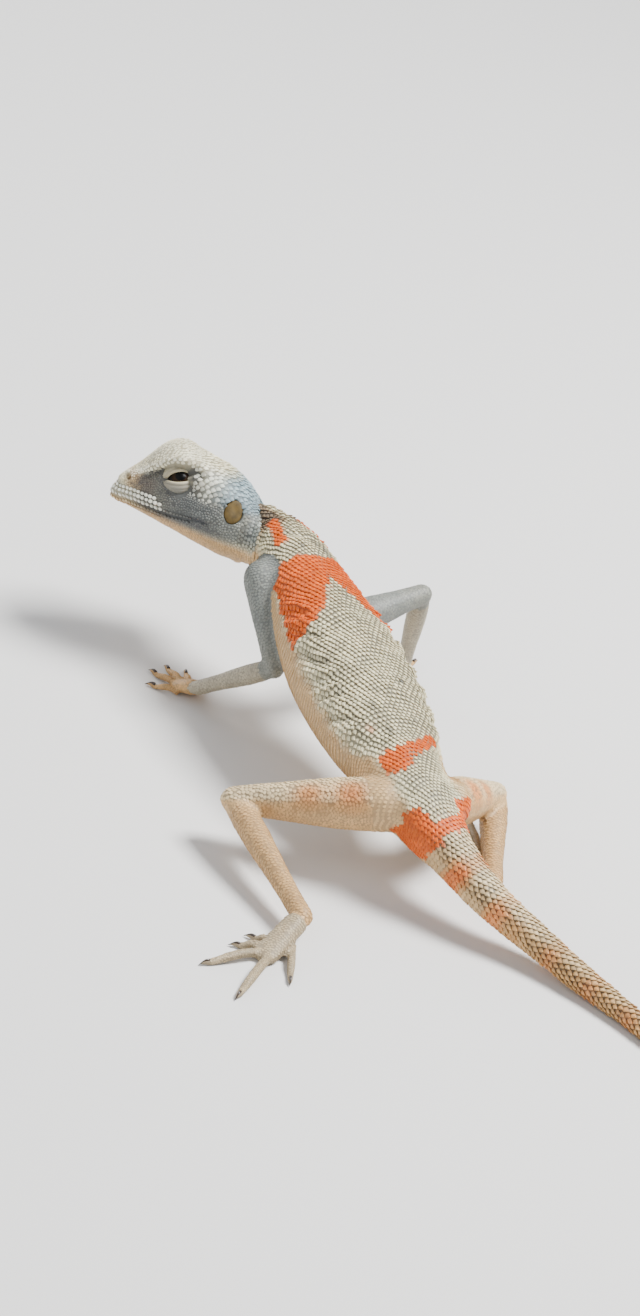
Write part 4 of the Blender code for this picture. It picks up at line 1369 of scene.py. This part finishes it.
def keeled(height: float, keel: float, tip: float, wide: float = 0.52) -> Prototype:
    """Return a leaf-shaped scale with a ridge that rises to its tip.

    Args:
        height: how far the edge stands out.
        keel: how far the ridge stands above the edge.
        tip: how far the point reaches back.
        wide: half the width.
    """
    outline = [(tip, 0.0), (0.34, 0.62), (0.0, 1.0), (-0.32, 0.74), (-0.50, 0.0), (-0.32, -0.74), (0.0, -1.0),
               (0.34, -0.62)]
    lifts = [height + keel * 0.75, height, height * 0.6, 0.0, -0.06, 0.0, height * 0.6, height]
    places = [(x, y * wide, z) for (x, y), z in zip(outline, lifts)]
    places += [(-0.30, 0.0, height * 0.4 + keel * 0.45), (0.05, 0.0, height * 0.8 + keel * 0.95),
               (0.40, 0.0, height + keel)]
    places += [(x * 0.86, y * wide * 0.88, -0.22) for x, y in outline]
    faces = [(4, 8, 3), (8, 9, 2, 3), (9, 10, 1, 2), (10, 0, 1), (4, 5, 8), (8, 5, 6, 9), (9, 6, 7, 10), (10, 7, 0)]
    faces += [(i, 11 + i, 11 + (i + 1) % 8, (i + 1) % 8) for i in range(8)]
    faces += [tuple(range(18, 10, -1))]
    places = np.array(places)
    reach = np.clip((places[:, 0] + 0.5) / (tip + 0.5), 0, 1)
    rim = np.concatenate([np.full(8, 1.0), np.array([0.35, 0.0, 0.0]), np.full(8, 1.0)])
    rim[0] = 0.25
    return Prototype(places, tuple(faces), reach, rim)


def bead(sides: int, dome: float, squash: float = 0.92) -> Prototype:
    """Return a low rounded grain.

    Args:
        sides: corners of its outline.
        dome: height of its top.
        squash: its width against its length.
    """
    turn = np.arange(sides) * 2 * math.pi / sides + 0.3
    ring = np.column_stack([np.cos(turn), np.sin(turn) * squash])
    places = [(*(point * 0.5), 0.02) for point in ring]
    places += [(*(point * 0.34), dome * 0.78) for point in ring]
    places += [(0.03, 0.0, dome)]
    places += [(*(point * 0.44), -0.22) for point in ring]
    top = 2 * sides
    faces = [(i, (i + 1) % sides, sides + (i + 1) % sides, sides + i) for i in range(sides)]
    faces += [(sides + i, sides + (i + 1) % sides, top) for i in range(sides)]
    faces += [((i + 1) % sides, i, top + 1 + i, top + 1 + (i + 1) % sides) for i in range(sides)]
    faces += [tuple(range(top + sides, top, -1))]
    places = np.array(places)
    rim = np.concatenate([np.full(sides, 1.0), np.full(sides, 0.35), [0.0], np.full(sides, 1.0)])
    return Prototype(places, tuple(faces), np.clip(places[:, 0] + 0.5, 0, 1) * 0.4 + 0.6, rim)


class Kind(Enum):
    """The forms of scale, each with the shape it is made from."""

    KEELED = 0
    SMOOTH = 1
    GRAIN = 2
    CONE = 3
    BEAD = 4
    LOW = 5


SHAPES = {
    Kind.KEELED: keeled(0.10, 0.15, 0.70, 0.46),
    Kind.SMOOTH: keeled(0.05, 0.02, 0.58, 0.54),
    Kind.GRAIN: bead(7, 0.20),
    Kind.CONE: keeled(0.11, 0.14, 0.62, 0.53),
    Kind.BEAD: bead(9, 0.34, 0.92),
    Kind.LOW: keeled(0.07, 0.07, 0.64, 0.52),
}
# How dark the rims of the scales are, and the skin that shows between them.
RIMS = {Kind.KEELED: 0.95, Kind.SMOOTH: 0.28, Kind.GRAIN: 0.5, Kind.CONE: 0.75, Kind.BEAD: 1.0, Kind.LOW: 0.6}
GAPS = {Kind.KEELED: 1.0, Kind.SMOOTH: 0.12, Kind.GRAIN: 0.3, Kind.CONE: 0.6, Kind.BEAD: 1.0, Kind.LOW: 0.45}


@dataclass
class Seeds:
    """The roots of many scales: places, directions, sizes and forms."""

    places: Array
    normals: Array
    size: Array
    kind: Array
    stretch: Array

    def join(self, other: "Seeds") -> "Seeds":
        """Return these seeds and the others together."""
        return Seeds(*(np.concatenate([mine, theirs]) for mine, theirs in zip(self.rows(), other.rows())))

    def rows(self) -> tuple:
        """Return the columns of the seeds."""
        return self.places, self.normals, self.size, self.kind, self.stretch

    def pick(self, chosen: Array) -> "Seeds":
        """Return the chosen seeds."""
        return Seeds(*(column[chosen] for column in self.rows()))


@dataclass
class Ground:
    """The skin as a surface to seed and to cast onto."""

    skin: bpy.types.Object

    def __post_init__(self) -> None:
        """Read the skin's points and triangles and build its search tree."""
        mesh = self.skin.data
        mesh.calc_loop_triangles()
        corners = np.empty(len(mesh.loop_triangles) * 3, np.int64)
        mesh.loop_triangles.foreach_get("vertices", corners)
        self.triangles = corners.reshape(-1, 3)
        self.points = points_of(mesh)
        self.normals = normals_of(mesh)
        self.tree = BVHTree.FromPolygons(self.points.tolist(), self.triangles.tolist())

    def smooth_normals(self, places: Array, faces: Array) -> Array:
        """Return the direction out of the skin at places on its triangles."""
        corners = self.triangles[faces]
        return unit(self.normals[corners].mean(1))

    def drop(self, places: Array) -> tuple[Array, Array]:
        """Return the nearest places on the skin and the directions out of it."""
        found = [self.tree.find_nearest(Vector(place)) for place in places]
        faces = np.array([hit[2] for hit in found])
        return np.array([hit[0][:] for hit in found]), self.smooth_normals(places, faces)

    def cast(self, starts: Array, ways: Array, far: Array) -> tuple[Array, Array, Array]:
        """Return where rays meet the skin, the directions out of it there, and which rays met it.

        Args:
            starts: one start for each ray.
            ways: one direction for each ray.
            far: the longest reach of each ray.
        """
        places, faces, met = np.zeros_like(starts), np.zeros(len(starts), int), np.zeros(len(starts), bool)
        for row, (start, way, reach) in enumerate(zip(starts, ways, far)):
            place, _, face, _ = self.tree.ray_cast(Vector(start), Vector(way), float(reach))
            if place is not None:
                places[row], faces[row], met[row] = place[:], face, True
        return places, self.smooth_normals(places, faces), met

    def scatter(self, count: int, rng: np.random.Generator) -> tuple[Array, Array]:
        """Return random places on the skin, evenly spread over its area, and the directions there."""
        first, second, third = (self.points[self.triangles[:, corner]] for corner in range(3))
        area = np.linalg.norm(np.cross(second - first, third - first), axis=1)
        chosen = rng.choice(len(area), count, p=area / area.sum())
        u, v = rng.random((2, count))
        flip = u + v > 1
        u, v = np.where(flip, 1 - u, u), np.where(flip, 1 - v, v)
        places = first[chosen] + u[:, None] * (second - first)[chosen] + v[:, None] * (third - first)[chosen]
        return places, self.smooth_normals(places, chosen)


@dataclass
class ScalePlan:
    """How large the scales are and which form they take, all over the animal."""

    body: Anatomy

    def sizes(self, at: Reading) -> Array:
        """Return the scale size in millimetres at each place."""
        along, across, rise = at.head.T
        back = 0.80 - 0.12 * ramp(at.along, 40.0, 52.0) - 0.12 * ramp(at.along, 12.0, 3.0)
        back = back + 0.16 * ramp(at.along, -1.0, -12.0)
        belly = 0.56 + 0.26 * ramp(at.along, 0.0, -12.0)
        size = belly + (back - belly) * ramp(above_flank(at), -6.0, 3.0)
        size = size * (1 + 0.12 * ramp(at.along, -10.0, -30.0)) * (1 - 0.45 * ramp(at.along, -60.0, -130.0))
        size = np.where(at.is_part(Part.UPPER_ARM, Part.FOREARM), 0.46, size)
        size = np.where(at.is_part(Part.THIGH), 0.48 + 0.12 * leg_top(at), size)
        size = np.where(at.is_part(Part.SHANK), 0.50, size)
        small = 0.42 - 0.08 * ramp(at.along, 2.9, 3.2)
        size = np.where(at.is_part(Part.HAND, Part.FOOT), small, size)
        crown = 0.50 + 0.10 * ramp(along, 2.0, 8.0)
        temple = ramp(along, 11.0, 12.6) * ramp(rise, 3.2, 4.2)
        cheek = 0.36 + 0.06 * ramp(along, 12.0, 18.0)
        side = ramp(rise - 0.2 * np.abs(across), 4.6, 3.4)
        head = crown + (cheek - crown) * side
        head = head + (0.80 - head) * temple
        head = head + (0.60 - head) * ramp(along, 19.6, 21.0) * ramp(rise, -2.0, 0.0)
        head = head + (0.44 - head) * ramp(rise, -0.8, -2.0)
        brow = bell(over_line(BROW, along, rise), -0.1, 0.7) * span(along, 4.5, 12.5, 0.6)
        head = head + (0.66 - head) * brow
        return np.where(at.is_part(Part.HEAD), head, size)

    def kinds(self, at: Reading) -> Array:
        """Return the form of the scale at each place."""
        along, _, rise = at.head.T
        kind = np.where(above_flank(at) < 0, Kind.SMOOTH.value, Kind.KEELED.value)
        limb = np.where(at.is_part(Part.THIGH) & (leg_top(at) > 0.5), Kind.LOW.value, Kind.SMOOTH.value)
        kind = np.where(at.is_part(Part.TRUNK), kind, limb)
        head = np.where(rise > 4.2, Kind.LOW.value, Kind.GRAIN.value)
        head = np.where((along > 11.5) & (rise > 3.7), Kind.CONE.value, head)
        head = np.where((along > 20.3) & (rise > -1.0), Kind.CONE.value, head)
        head = np.where(rise < -1.6, Kind.SMOOTH.value, head)
        return np.where(at.is_part(Part.HEAD), head, kind)

    def bare(self, at: Reading, normals: Array) -> Array:
        """Return which places carry no scale: eyes, ears, nostrils, mouth line, claws and soles."""
        along, across, rise = at.head.T
        head = at.is_part(Part.HEAD)
        bare = np.zeros(len(along), bool)
        for side in (1, -1):
            angle, reach = EyeFrame(self.body, side).off_axis(at.head)
            bare |= (angle < LIDS.edge - 6.0) & (reach < 3.3)
            own, away = self.body.in_ear(at.head, side)
            bare |= head & (away < 1.10) & (own[:, 1] > -2.5)
        nose = np.hypot(along - NOSTRIL[0], rise - NOSTRIL[1])
        bare |= head & (nose < 0.56) & (np.abs(across) > 0.8)
        mouth = rise - self.body.mouth(along)[:, 0]
        bare |= head & (np.abs(mouth) < 0.13) & (along < 13.6)
        bare |= at.is_part(Part.HAND, Part.FOOT) & (at.along > 3.98)
        return bare | ((at.places[:, 2] < 0.3) & (normals[:, 2] < -0.5))


@dataclass
class Sower:
    """Lays out the roots of the scales over the skin."""

    body: Anatomy
    ground: Ground
    plan: ScalePlan
    rng: np.random.Generator
    overlap: float = 0.92
    sweep: float = 4.2
    tries: int = 330000
    # Lip rows: height above the mouth line, first and last place along the head, length and height of a scale.
    lips: tuple = ((0.42, -0.6, 8.2, 0.76, 0.60), (1.04, -0.6, 7.8, 0.76, 0.60), (1.66, -0.6, 6.8, 0.74, 0.58),
                   (-0.38, -0.6, 12.6, 0.60, 0.46), (0.36, 8.6, 12.8, 0.54, 0.42), (-0.80, -0.4, 9.0, 0.50, 0.42))

    def sow(self) -> tuple[Seeds, Reading]:
        """Return all the seeds and where they lie."""
        lips = self.lip_rows()
        rows = self.body_rows()
        held = lips.join(rows)
        log.info("%d lip scales, %d scales in rows", len(lips.size), len(rows.size))
        loose = self.relax(self.fill(held), held)
        log.info("%d loose scales", len(loose.size))
        seeds = held.join(loose)
        at = self.body.read(seeds.places)
        keep = ~self.plan.bare(at, seeds.normals)
        keep[:len(lips.size)] = True
        chosen = seeds.pick(keep)
        return chosen, self.body.read(chosen.places)

    def make(self, places: Array, normals: Array) -> Seeds:
        """Return seeds at places, with the sizes and forms of the plan."""
        at = self.body.read(places)
        return Seeds(places, normals, self.plan.sizes(at), self.plan.kinds(at), np.ones(len(places)))

    def body_rows(self) -> Seeds:
        """Return the scales of trunk and tail, in staggered rows counted from the middle of the back."""
        reach, rows = self.body.reach, []
        station, shift, counts = reach[-1] + 3.5, 0.0, {1: 0, -1: 0}
        while station > reach[0] + 3.0:
            grains = []
            for way in (1, -1):
                places, met, grain, total = self.half_row(station, way)
                wanted = total[-1] / self.overlap
                if abs(wanted - counts[way]) > 0.8:
                    counts[way] = max(int(round(wanted)), 2)
                steps = np.arange(counts[way] + (1 if shift == 0.0 else 0)) + shift
                if way < 0 and shift == 0.0:
                    steps = steps[1:-1]
                marks = steps / counts[way] * total[-1]
                picked = np.column_stack([np.interp(marks, total, places[:, axis]) for axis in range(3)])
                nearest = np.clip(np.searchsorted(total, marks), 1, len(total) - 1)
                rows.append(picked[met[nearest] & met[nearest - 1]])
                grains.append(np.median(grain[:20]))
            shift = 0.5 - shift
            trunk = float(ramp(np.array([station]), -12.0, 2.0)[0])
            station -= min(grains) * (0.82 + 0.10 * trunk)
        places, normals = self.ground.drop(np.concatenate(rows))
        at = self.body.read(places)
        keep = at.is_part(Part.TRUNK) & ~self.plan.bare(at, normals)
        return self.make(places[keep], normals[keep])

    def half_row(self, station: float, way: int) -> tuple[Array, Array, Array, Array]:
        """Return one side of a row: its path from the back to the belly, swept to the rear.

        Args:
            station: where the row crosses the back.
            way: 1 for one side and -1 for the other.

        Returns:
            Places, which of them met the skin, the scale size at each and the path in scales.
        """
        turns = np.linspace(0.0, math.pi, 61)
        trunk = float(ramp(np.array([station]), -10.0, 6.0)[0])
        slant = self.sweep * trunk * (np.sqrt(np.minimum(turns / 1.3, 1.3) ** 2 + 0.05) - 0.22)
        where = np.full(len(turns), station) - slant
        middle, _, side, rise, size = self.body.frames(where)
        angles = math.pi / 2 + way * turns
        spread = np.cos(angles)[:, None] * side * size[:, :1] + np.sin(angles)[:, None] * rise * size[:, 1:]
        waves = 0.34 * ripple(middle + spread, 11.0, 0.5) + 0.14 * ripple(middle + spread, 4.5, 2.2)
        where = where + waves * (0.12 + 0.88 * trunk)
        middle, ahead, side, rise, size = self.body.frames(where)
        ways = np.cos(angles)[:, None] * side * size[:, :1] + np.sin(angles)[:, None] * rise * size[:, 1:]
        far = np.linalg.norm(ways, axis=1) * 1.7 + 1.5
        places, _, met = self.ground.cast(middle, unit(ways), far)
        places = np.where(met[:, None], places, middle + ways)
        met &= (where < self.body.reach[-1] - 0.5) & (where > self.body.reach[0] + 1.0)
        grain = self.plan.sizes(self.body.read(places))
        steps = np.diff(places, axis=0)
        steps = steps - ahead[1:] * (steps * ahead[1:]).sum(1)[:, None]
        arc = np.linalg.norm(steps, axis=1) / ((grain[1:] + grain[:-1]) / 2)
        return places, met, grain, np.concatenate([[0.0], np.cumsum(arc)])

    def lip_rows(self) -> Seeds:
        """Return the scales that line the mouth: three rows of beads above it and two below."""
        made = None
        for row in self.lips:
            scales = self.lip_row(*row)
            made = scales if made is None else made.join(scales)
        return made

    def lip_row(self, offset: float, first: float, last: float, length: float, wide: float) -> Seeds:
        """Return one row of lip scales on both sides of the mouth.

        Args:
            offset: height above the mouth line.
            first: where the row starts along the head, below 0 for right round the snout.
            last: where it ends.
            length: length of each scale.
            wide: height of each scale.
        """
        mouth, path = self.body.mouth, []
        for turn in np.linspace(0.0, math.pi / 2, 16):
            path.append((3.0 - 4.0 * math.cos(turn), 4.0 * math.sin(turn), 3.0))
        for along in np.linspace(3.2, last + 1.0, 24):
            path.append((along, 4.0, along))
        starts, ways = [], []
        for along, across, base in path:
            rise = mouth(max(along, 0.0))[0, 0] + offset
            start = np.array([base, 0.0, rise])
            starts.append(start)
            ways.append(unit(np.array([along, across, rise]) - start))
        starts, ways = np.array(starts), np.array(ways)
        places, _, met = self.ground.cast(self.body.head_world(starts), ways @ self.body.head_axes,
                                          np.full(len(starts), 12.0))
        local = self.body.head_local(places[met])
        reach = np.concatenate([[0.0], np.cumsum(np.linalg.norm(np.diff(local, axis=0), axis=1))])
        count = int(reach[-1] / length)
        stagger = 0.5 if 0.6 < offset < 1.2 else 0.0
        spots = (np.arange(count) + stagger) * length
        picked = np.column_stack([np.interp(spots, reach, local[:, axis]) for axis in range(3)])
        picked = picked[(picked[:, 0] >= first) & (picked[:, 0] <= last)]
        mirrored = picked[picked[:, 1] > 0.25] * np.array([1.0, -1.0, 1.0])
        places, normals = self.ground.drop(self.body.head_world(np.concatenate([picked, mirrored])))
        number = len(places)
        size = np.full(number, length * 1.04) * (1 + 0.06 * self.rng.standard_normal(number))
        return Seeds(places, normals, size, np.full(number, Kind.BEAD.value), np.full(number, wide / length))

    def fill(self, held: Seeds) -> Seeds:
        """Return loose scales that fill head, limbs, hands and feet, clear of the held ones."""
        places, normals = self.ground.scatter(self.tries, self.rng)
        at = self.body.read(places)
        wanted = ~at.is_part(Part.TRUNK) & ~self.plan.bare(at, normals)
        places, normals = places[wanted], normals[wanted]
        sizes = self.plan.sizes(self.body.read(places)) * self.overlap
        cell = 0.8
        grid: dict[tuple[int, int, int], list[int]] = {}
        kept_places, kept_sizes = [], []

        def room(place: Array, size: float) -> bool:
            """Return True where no kept scale is too near."""
            key = np.floor(place / cell).astype(int)
            for dx in (-1, 0, 1):
                for dy in (-1, 0, 1):
                    for dz in (-1, 0, 1):
                        for other in grid.get((key[0] + dx, key[1] + dy, key[2] + dz), ()):
                            gap = kept_places[other] - place
                            near = (kept_sizes[other] + size) * 0.43
                            if gap @ gap < near * near:
                                return False
            return True

        def keep(place: Array, size: float) -> None:
            """Keep one scale."""
            key = tuple(np.floor(place / cell).astype(int))
            grid.setdefault(key, []).append(len(kept_places))
            kept_places.append(place)
            kept_sizes.append(size)

        for place, size in zip(held.places, held.size * 0.9):
            keep(place, size)
        chosen = []
        for row, (place, size) in enumerate(zip(places, sizes)):
            if room(place, size):
                keep(place, size)
                chosen.append(row)
        return self.make(places[chosen], normals[chosen])

    def relax(self, moving: Seeds, fixed: Seeds, rounds: int = 6) -> Seeds:
        """Return the moving seeds pushed apart until they lie evenly.

        Args:
            moving: seeds that may move.
            fixed: seeds that push but stay.
            rounds: number of rounds.
        """
        for _ in range(rounds):
            places = np.concatenate([moving.places, fixed.places])
            sizes = np.concatenate([moving.size, fixed.size])
            tree = KDTree(len(places))
            for row, place in enumerate(places):
                tree.insert(place, row)
            tree.balance()
            near = np.array([[hit[1] for hit in tree.find_n(place, 7)] for place in moving.places])
            offset = moving.places[:, None] - places[near[:, 1:]]
            gap = np.linalg.norm(offset, axis=2)
            ideal = (sizes[near[:, 1:]] + moving.size[:, None]) / 2 * self.overlap * 1.02
            push = np.clip(ideal - gap, -0.04, 0.3) / np.maximum(gap, 0.05)
            step = (offset * push[:, :, None]).sum(1) * 0.28
            dropped, normals = self.ground.drop(moving.places + step)
            moving = Seeds(dropped, normals, moving.size, moving.kind, moving.stretch)
        return self.make(moving.places, moving.normals)


@dataclass
class Coat:
    """The coat of scales, in one mesh for each region of the animal."""

    body: Anatomy
    marks: Markings
    seeds: Seeds
    at: Reading
    rng: np.random.Generator
    patch: float = 0.0025

    def build(self) -> list[bpy.types.Object]:
        """Make every region's scales and return them."""
        trunk = self.at.is_part(Part.TRUNK)
        high = self.at.angle > 20.0
        tail = trunk & (self.at.along < -3.0)
        body = trunk & ~tail
        head = self.at.is_part(Part.HEAD)
        left = self.at.head[:, 1] > 0
        feet = self.at.is_part(Part.HAND, Part.FOOT)
        legs = self.at.is_part(Part.THIGH, Part.SHANK)
        arms = self.at.is_part(Part.UPPER_ARM, Part.FOREARM)
        regions = (("coat_back", body & high, "trunk"), ("coat_belly", body & ~high, "trunk"),
                   ("coat_tail", tail, "tail"), ("coat_head_left", head & left, "head"),
                   ("coat_head_right", head & ~left, "head"), ("coat_legs", legs, "limbs"),
                   ("coat_arms", arms, "limbs"), ("coat_feet", feet, "feet"))
        finish = Hide("scale_hide", True).material()
        return [self.region(name, np.nonzero(chosen)[0], finish) for name, chosen, slot in regions]

    def region(self, name: str, chosen: Array, finish: bpy.types.Material) -> bpy.types.Object:
        """Make one region's scales as one mesh and return it.

        Args:
            name: the object's name.
            chosen: numbers of the seeds in the region.
            finish: the scales' material.
        """
        marks, pale, fade = self.marks.marks(self.at), self.marks.pale(self.at), self.fading()
        centre = self.unwrap()
        stacks = {"places": [], "marks": [], "coat": [], "patch": [], "faces": []}
        first = 0
        for kind, shape in SHAPES.items():
            rows = chosen[self.seeds.kind[chosen] == kind.value]
            if not len(rows):
                continue
            places, local = self.lay(shape, rows)
            corners = len(shape.places)
            calm = 0.35 + 0.65 * RIMS[kind]
            tones = np.repeat(0.5 + calm * (self.rng.random(len(rows)) - 0.5), corners)
            # How strong each scale's darker rim and root are: dark net together with painted shade, weaker in orange
            # and on the flank.
            dark = np.repeat((1 - 0.8 * marks[rows, 0]) * fade[rows], corners) * RIMS[kind]
            rim = np.tile(shape.rim, len(rows)) * dark
            reach = 1 - (1 - np.tile(shape.reach, len(rows))) * dark
            coat = np.column_stack([tones, reach, rim,
                                    np.repeat(self.paleness(kind, pale[rows], self.at.head[rows]), corners)])
            stacks["places"].append(places)
            stacks["marks"].append(np.repeat(marks[rows], corners, axis=0))
            stacks["coat"].append(coat)
            stacks["patch"].append(np.repeat(centre[rows], corners, axis=0) + local * self.patch)
            for face in shape.faces:
                numbers = first + np.arange(len(rows))[:, None] * corners + np.array(face)[None, :]
                stacks["faces"].append(numbers)
            first += len(places)
        places = np.concatenate(stacks["places"])
        places[:, 2] = np.maximum(places[:, 2], 0.0)
        mesh = self.raw_mesh(name, places, stacks["faces"])
        put_colour(mesh, "marks", np.concatenate(stacks["marks"]))
        put_colour(mesh, "coat", np.concatenate(stacks["coat"]))
        self.put_patches(mesh, np.concatenate(stacks["patch"]))
        made = new_object(name, mesh)
        only(made)
        bpy.ops.object.shade_smooth_by_angle(angle=math.radians(48.0))
        mesh.materials.append(finish)
        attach(made, "root")
        count = sum(len(rows) * (rows.shape[1] - 2) for rows in stacks["faces"])
        log.info("%s: %d scales, %d triangles", name, len(chosen), count)
        return made

    def fading(self) -> Array:
        """Return how strong the dark rims are, less towards the smooth flank of the trunk."""
        return np.where(self.at.is_part(Part.TRUNK), 0.30 + 0.70 * ramp(above_flank(self.at), 0.0, 26.0), 1.0)

    @staticmethod
    def paleness(kind: Kind, pale: Array, head: Array) -> Array:
        """Return how whitish each scale of a form is, most on the three front rows of the upper lip."""
        if kind is not Kind.BEAD:
            return pale
        return 0.85 * ramp(over_line(LIP, head[:, 0], head[:, 2]), 0.0, 0.15) * ramp(head[:, 0], 8.8, 8.2)

    def lay(self, shape: Prototype, rows: Array) -> tuple[Array, Array]:
        """Return the placed corners of a shape at the seeds, and the corners' own flat places.

        Args:
            shape: the scale's shape.
            rows: numbers of the seeds.
        """
        out = self.seeds.normals[rows]
        lie = self.at.lie[rows]
        ahead = unit(lie - out * (lie * out).sum(1)[:, None])
        turn = self.rng.normal(0.0, 0.09, len(rows))
        side = np.cross(out, ahead)
        ahead = unit(ahead * np.cos(turn)[:, None] + side * np.sin(turn)[:, None])
        side = np.cross(out, ahead)
        size = self.seeds.size[rows] * (1 + 0.07 * self.rng.standard_normal(len(rows)))
        tilt = np.where(self.at.is_part(Part.TRUNK)[rows], 0.13, 0.08)
        tilt = tilt + 0.04 * self.rng.standard_normal(len(rows))
        wide = size * self.seeds.stretch[rows]
        tall = size * (1 + 0.12 * self.rng.standard_normal(len(rows)))
        flat = shape.places
        x = flat[None, :, 0] * size[:, None]
        y = flat[None, :, 1] * wide[:, None]
        z = flat[None, :, 2] * tall[:, None] + x * tilt[:, None]
        places = (self.seeds.places[rows][:, None, :] + x[:, :, None] * ahead[:, None, :]
                  + y[:, :, None] * side[:, None, :] + z[:, :, None] * out[:, None, :])
        return places.reshape(-1, 3), np.tile(flat[:, :2], (len(rows), 1))

    def unwrap(self) -> Array:
        """Return each seed's place on a flat layout of the skin: a strip for each part of the body."""
        at = self.at
        u = np.zeros(len(at.along))
        v = np.zeros(len(at.along))
        turn = (at.angle + 180.0) / 360.0
        trunk = at.is_part(Part.TRUNK)
        u[trunk] = 0.02 + 0.62 * (at.along[trunk] + 140.0) / 205.0
        v[trunk] = 0.52 + 0.46 * turn[trunk]
        head = at.is_part(Part.HEAD)
        around = np.arctan2(at.head[:, 2] - 1.0, at.head[:, 1]) / (2 * math.pi) + 0.5
        u[head] = 0.67 + 0.31 * np.clip((at.head[head, 0] + 2.0) / 25.0, 0, 1)
        v[head] = 0.52 + 0.46 * around[head]
        limb = ~trunk & ~head
        u[limb] = 0.02 + 0.96 * np.clip((at.along[limb] + 0.3) / 4.6, 0, 1)
        v[limb] = 0.02 + (at.limb[limb] + turn[limb]) * 0.115
        return np.column_stack([u, v])

    @staticmethod
    def raw_mesh(name: str, places: Array, faces: list[Array]) -> bpy.types.Mesh:
        """Return a mesh made straight from arrays.

        Args:
            name: the mesh's name.
            places: points in millimetres.
            faces: arrays of faces, each with one number of corners.
        """
        mesh = bpy.data.meshes.new(name)
        mesh.vertices.add(len(places))
        mesh.vertices.foreach_set("co", np.ascontiguousarray(places * MM, np.float32).ravel())
        corners = np.concatenate([rows.ravel() for rows in faces])
        widths = np.concatenate([np.full(len(rows), rows.shape[1]) for rows in faces])
        starts = np.concatenate([[0], np.cumsum(widths)[:-1]])
        mesh.loops.add(len(corners))
        mesh.loops.foreach_set("vertex_index", corners.astype(np.int32))
        mesh.polygons.add(len(widths))
        mesh.polygons.foreach_set("loop_start", starts.astype(np.int32))
        mesh.update(calc_edges=True)
        mesh.validate()
        return mesh

    @staticmethod
    def put_patches(mesh: bpy.types.Mesh, places: Array) -> None:
        """Store each scale's small patch as the UV map named OFBake."""
        layer = mesh.uv_layers.new(name="OFBake")
        corners = np.empty(len(mesh.loops), np.int32)
        mesh.loops.foreach_get("vertex_index", corners)
        layer.data.foreach_set("uv", np.ascontiguousarray(places[corners], np.float32).ravel())


@dataclass
class Studio:
    """Camera, floor and soft light, none of which belongs to the model."""

    body: Anatomy
    right: tuple = (-0.8777, 0.4299, 0.2117)
    up: tuple = (-0.0534, -0.5268, 0.8483)
    back: tuple = (0.4762, 0.7333, 0.4853)
    target: tuple = (8.22, -22.64, 26.13)
    distance: float = 600.0
    lens: float = 114.9

    def build(self) -> None:
        """Set the camera, the floor and the lights."""
        self.set_camera()
        self.set_floor()
        self.set_lights()

    def set_camera(self) -> None:
        """Place the camera where the photo was taken from, seen from the animal."""
        data = bpy.data.cameras.new("camera")
        data.lens = self.lens
        data.sensor_width = 36.0
        data.clip_start, data.clip_end = 0.01, 20.0
        camera = bpy.data.objects.new("camera", data)
        bpy.context.scene.collection.objects.link(camera)
        axes = np.array([self.right, self.up, self.back])
        axes[2] = unit(axes[2])
        axes[0] = unit(np.cross(axes[1], axes[2]))
        axes[1] = np.cross(axes[2], axes[0])
        place = (np.array(self.target) + self.body.shift + self.distance * axes[2]) * MM
        turned = Matrix([[*axes[:, row], place[row]] for row in range(3)] + [[0, 0, 0, 1]])
        camera.matrix_world = turned
        bpy.context.scene.camera = camera

    @staticmethod
    def set_floor() -> None:
        """Lay a plain pale floor."""
        deselect()
        bpy.ops.mesh.primitive_plane_add(size=6.0, location=(0, 0, 0))
        floor = bpy.context.object
        floor.name = "floor"
        made = Gloss("floor_pale", (0.72, 0.71, 0.69), 0.8).material()
        floor.data.materials.append(made)

    def set_lights(self) -> None:
        """Hang one large soft key on the photo's sunny side and weaker fills."""
        right, up, back = (np.array(row) for row in (self.right, self.up, self.back))
        centre = np.array([0.0, 0.0, 12.0])
        for name, way, power, size in (
                ("key", right * 0.75 + up * 0.9 + back * 0.30, 12.5, 0.24),
                ("fill", -right * 0.6 + up * 0.4 + back * 0.9, 2.4, 0.8),
                ("rim", -right * 0.6 + up * 0.9 - back * 0.5, 2.0, 0.4)):
            way = unit(way)
            place = (centre + way * 650.0) * MM
            data = bpy.data.lights.new(name, "AREA")
            data.energy = power
            data.size = size
            lamp = bpy.data.objects.new(name, data)
            bpy.context.scene.collection.objects.link(lamp)
            lamp.location = Vector(place)
            lamp.rotation_mode = "QUATERNION"
            lamp.rotation_quaternion = Vector(way).to_track_quat("Z", "Y")
        world = bpy.data.worlds.new("studio")
        world.use_nodes = True
        ground = world.node_tree.nodes["Background"]
        ground.inputs["Color"].default_value = (0.80, 0.87, 1.0, 1.0)
        ground.inputs["Strength"].default_value = 0.36
        bpy.context.scene.world = world


def main() -> None:
    """Build the looks over the solids, piece by piece."""
    logging.basicConfig(level=logging.INFO, format="%(message)s")
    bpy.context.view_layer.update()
    body = Anatomy()
    marks = Markings(body)
    Studio(body).build()
    skin = Skin(body, marks).build()
    log.info("skin: %d triangles", len(skin.data.polygons))
    for lid in Lids(body, marks).build():
        log.info("%s: %d faces", lid.name, len(lid.data.polygons))
    Eyes(body).build()
    Drums(body).build()
    Claws(body).build()
    log.info("eyes, drums and claws made")
    rng = np.random.default_rng(SEED)
    ground = Ground(skin)
    Nostrils(body, marks).build(ground)
    seeds, at = Sower(body, ground, ScalePlan(body), rng).sow()
    pieces = Coat(body, marks, seeds, at, rng).build()
    log.info("%d pieces of coat", len(pieces))


if __name__ == "__main__":
    main()
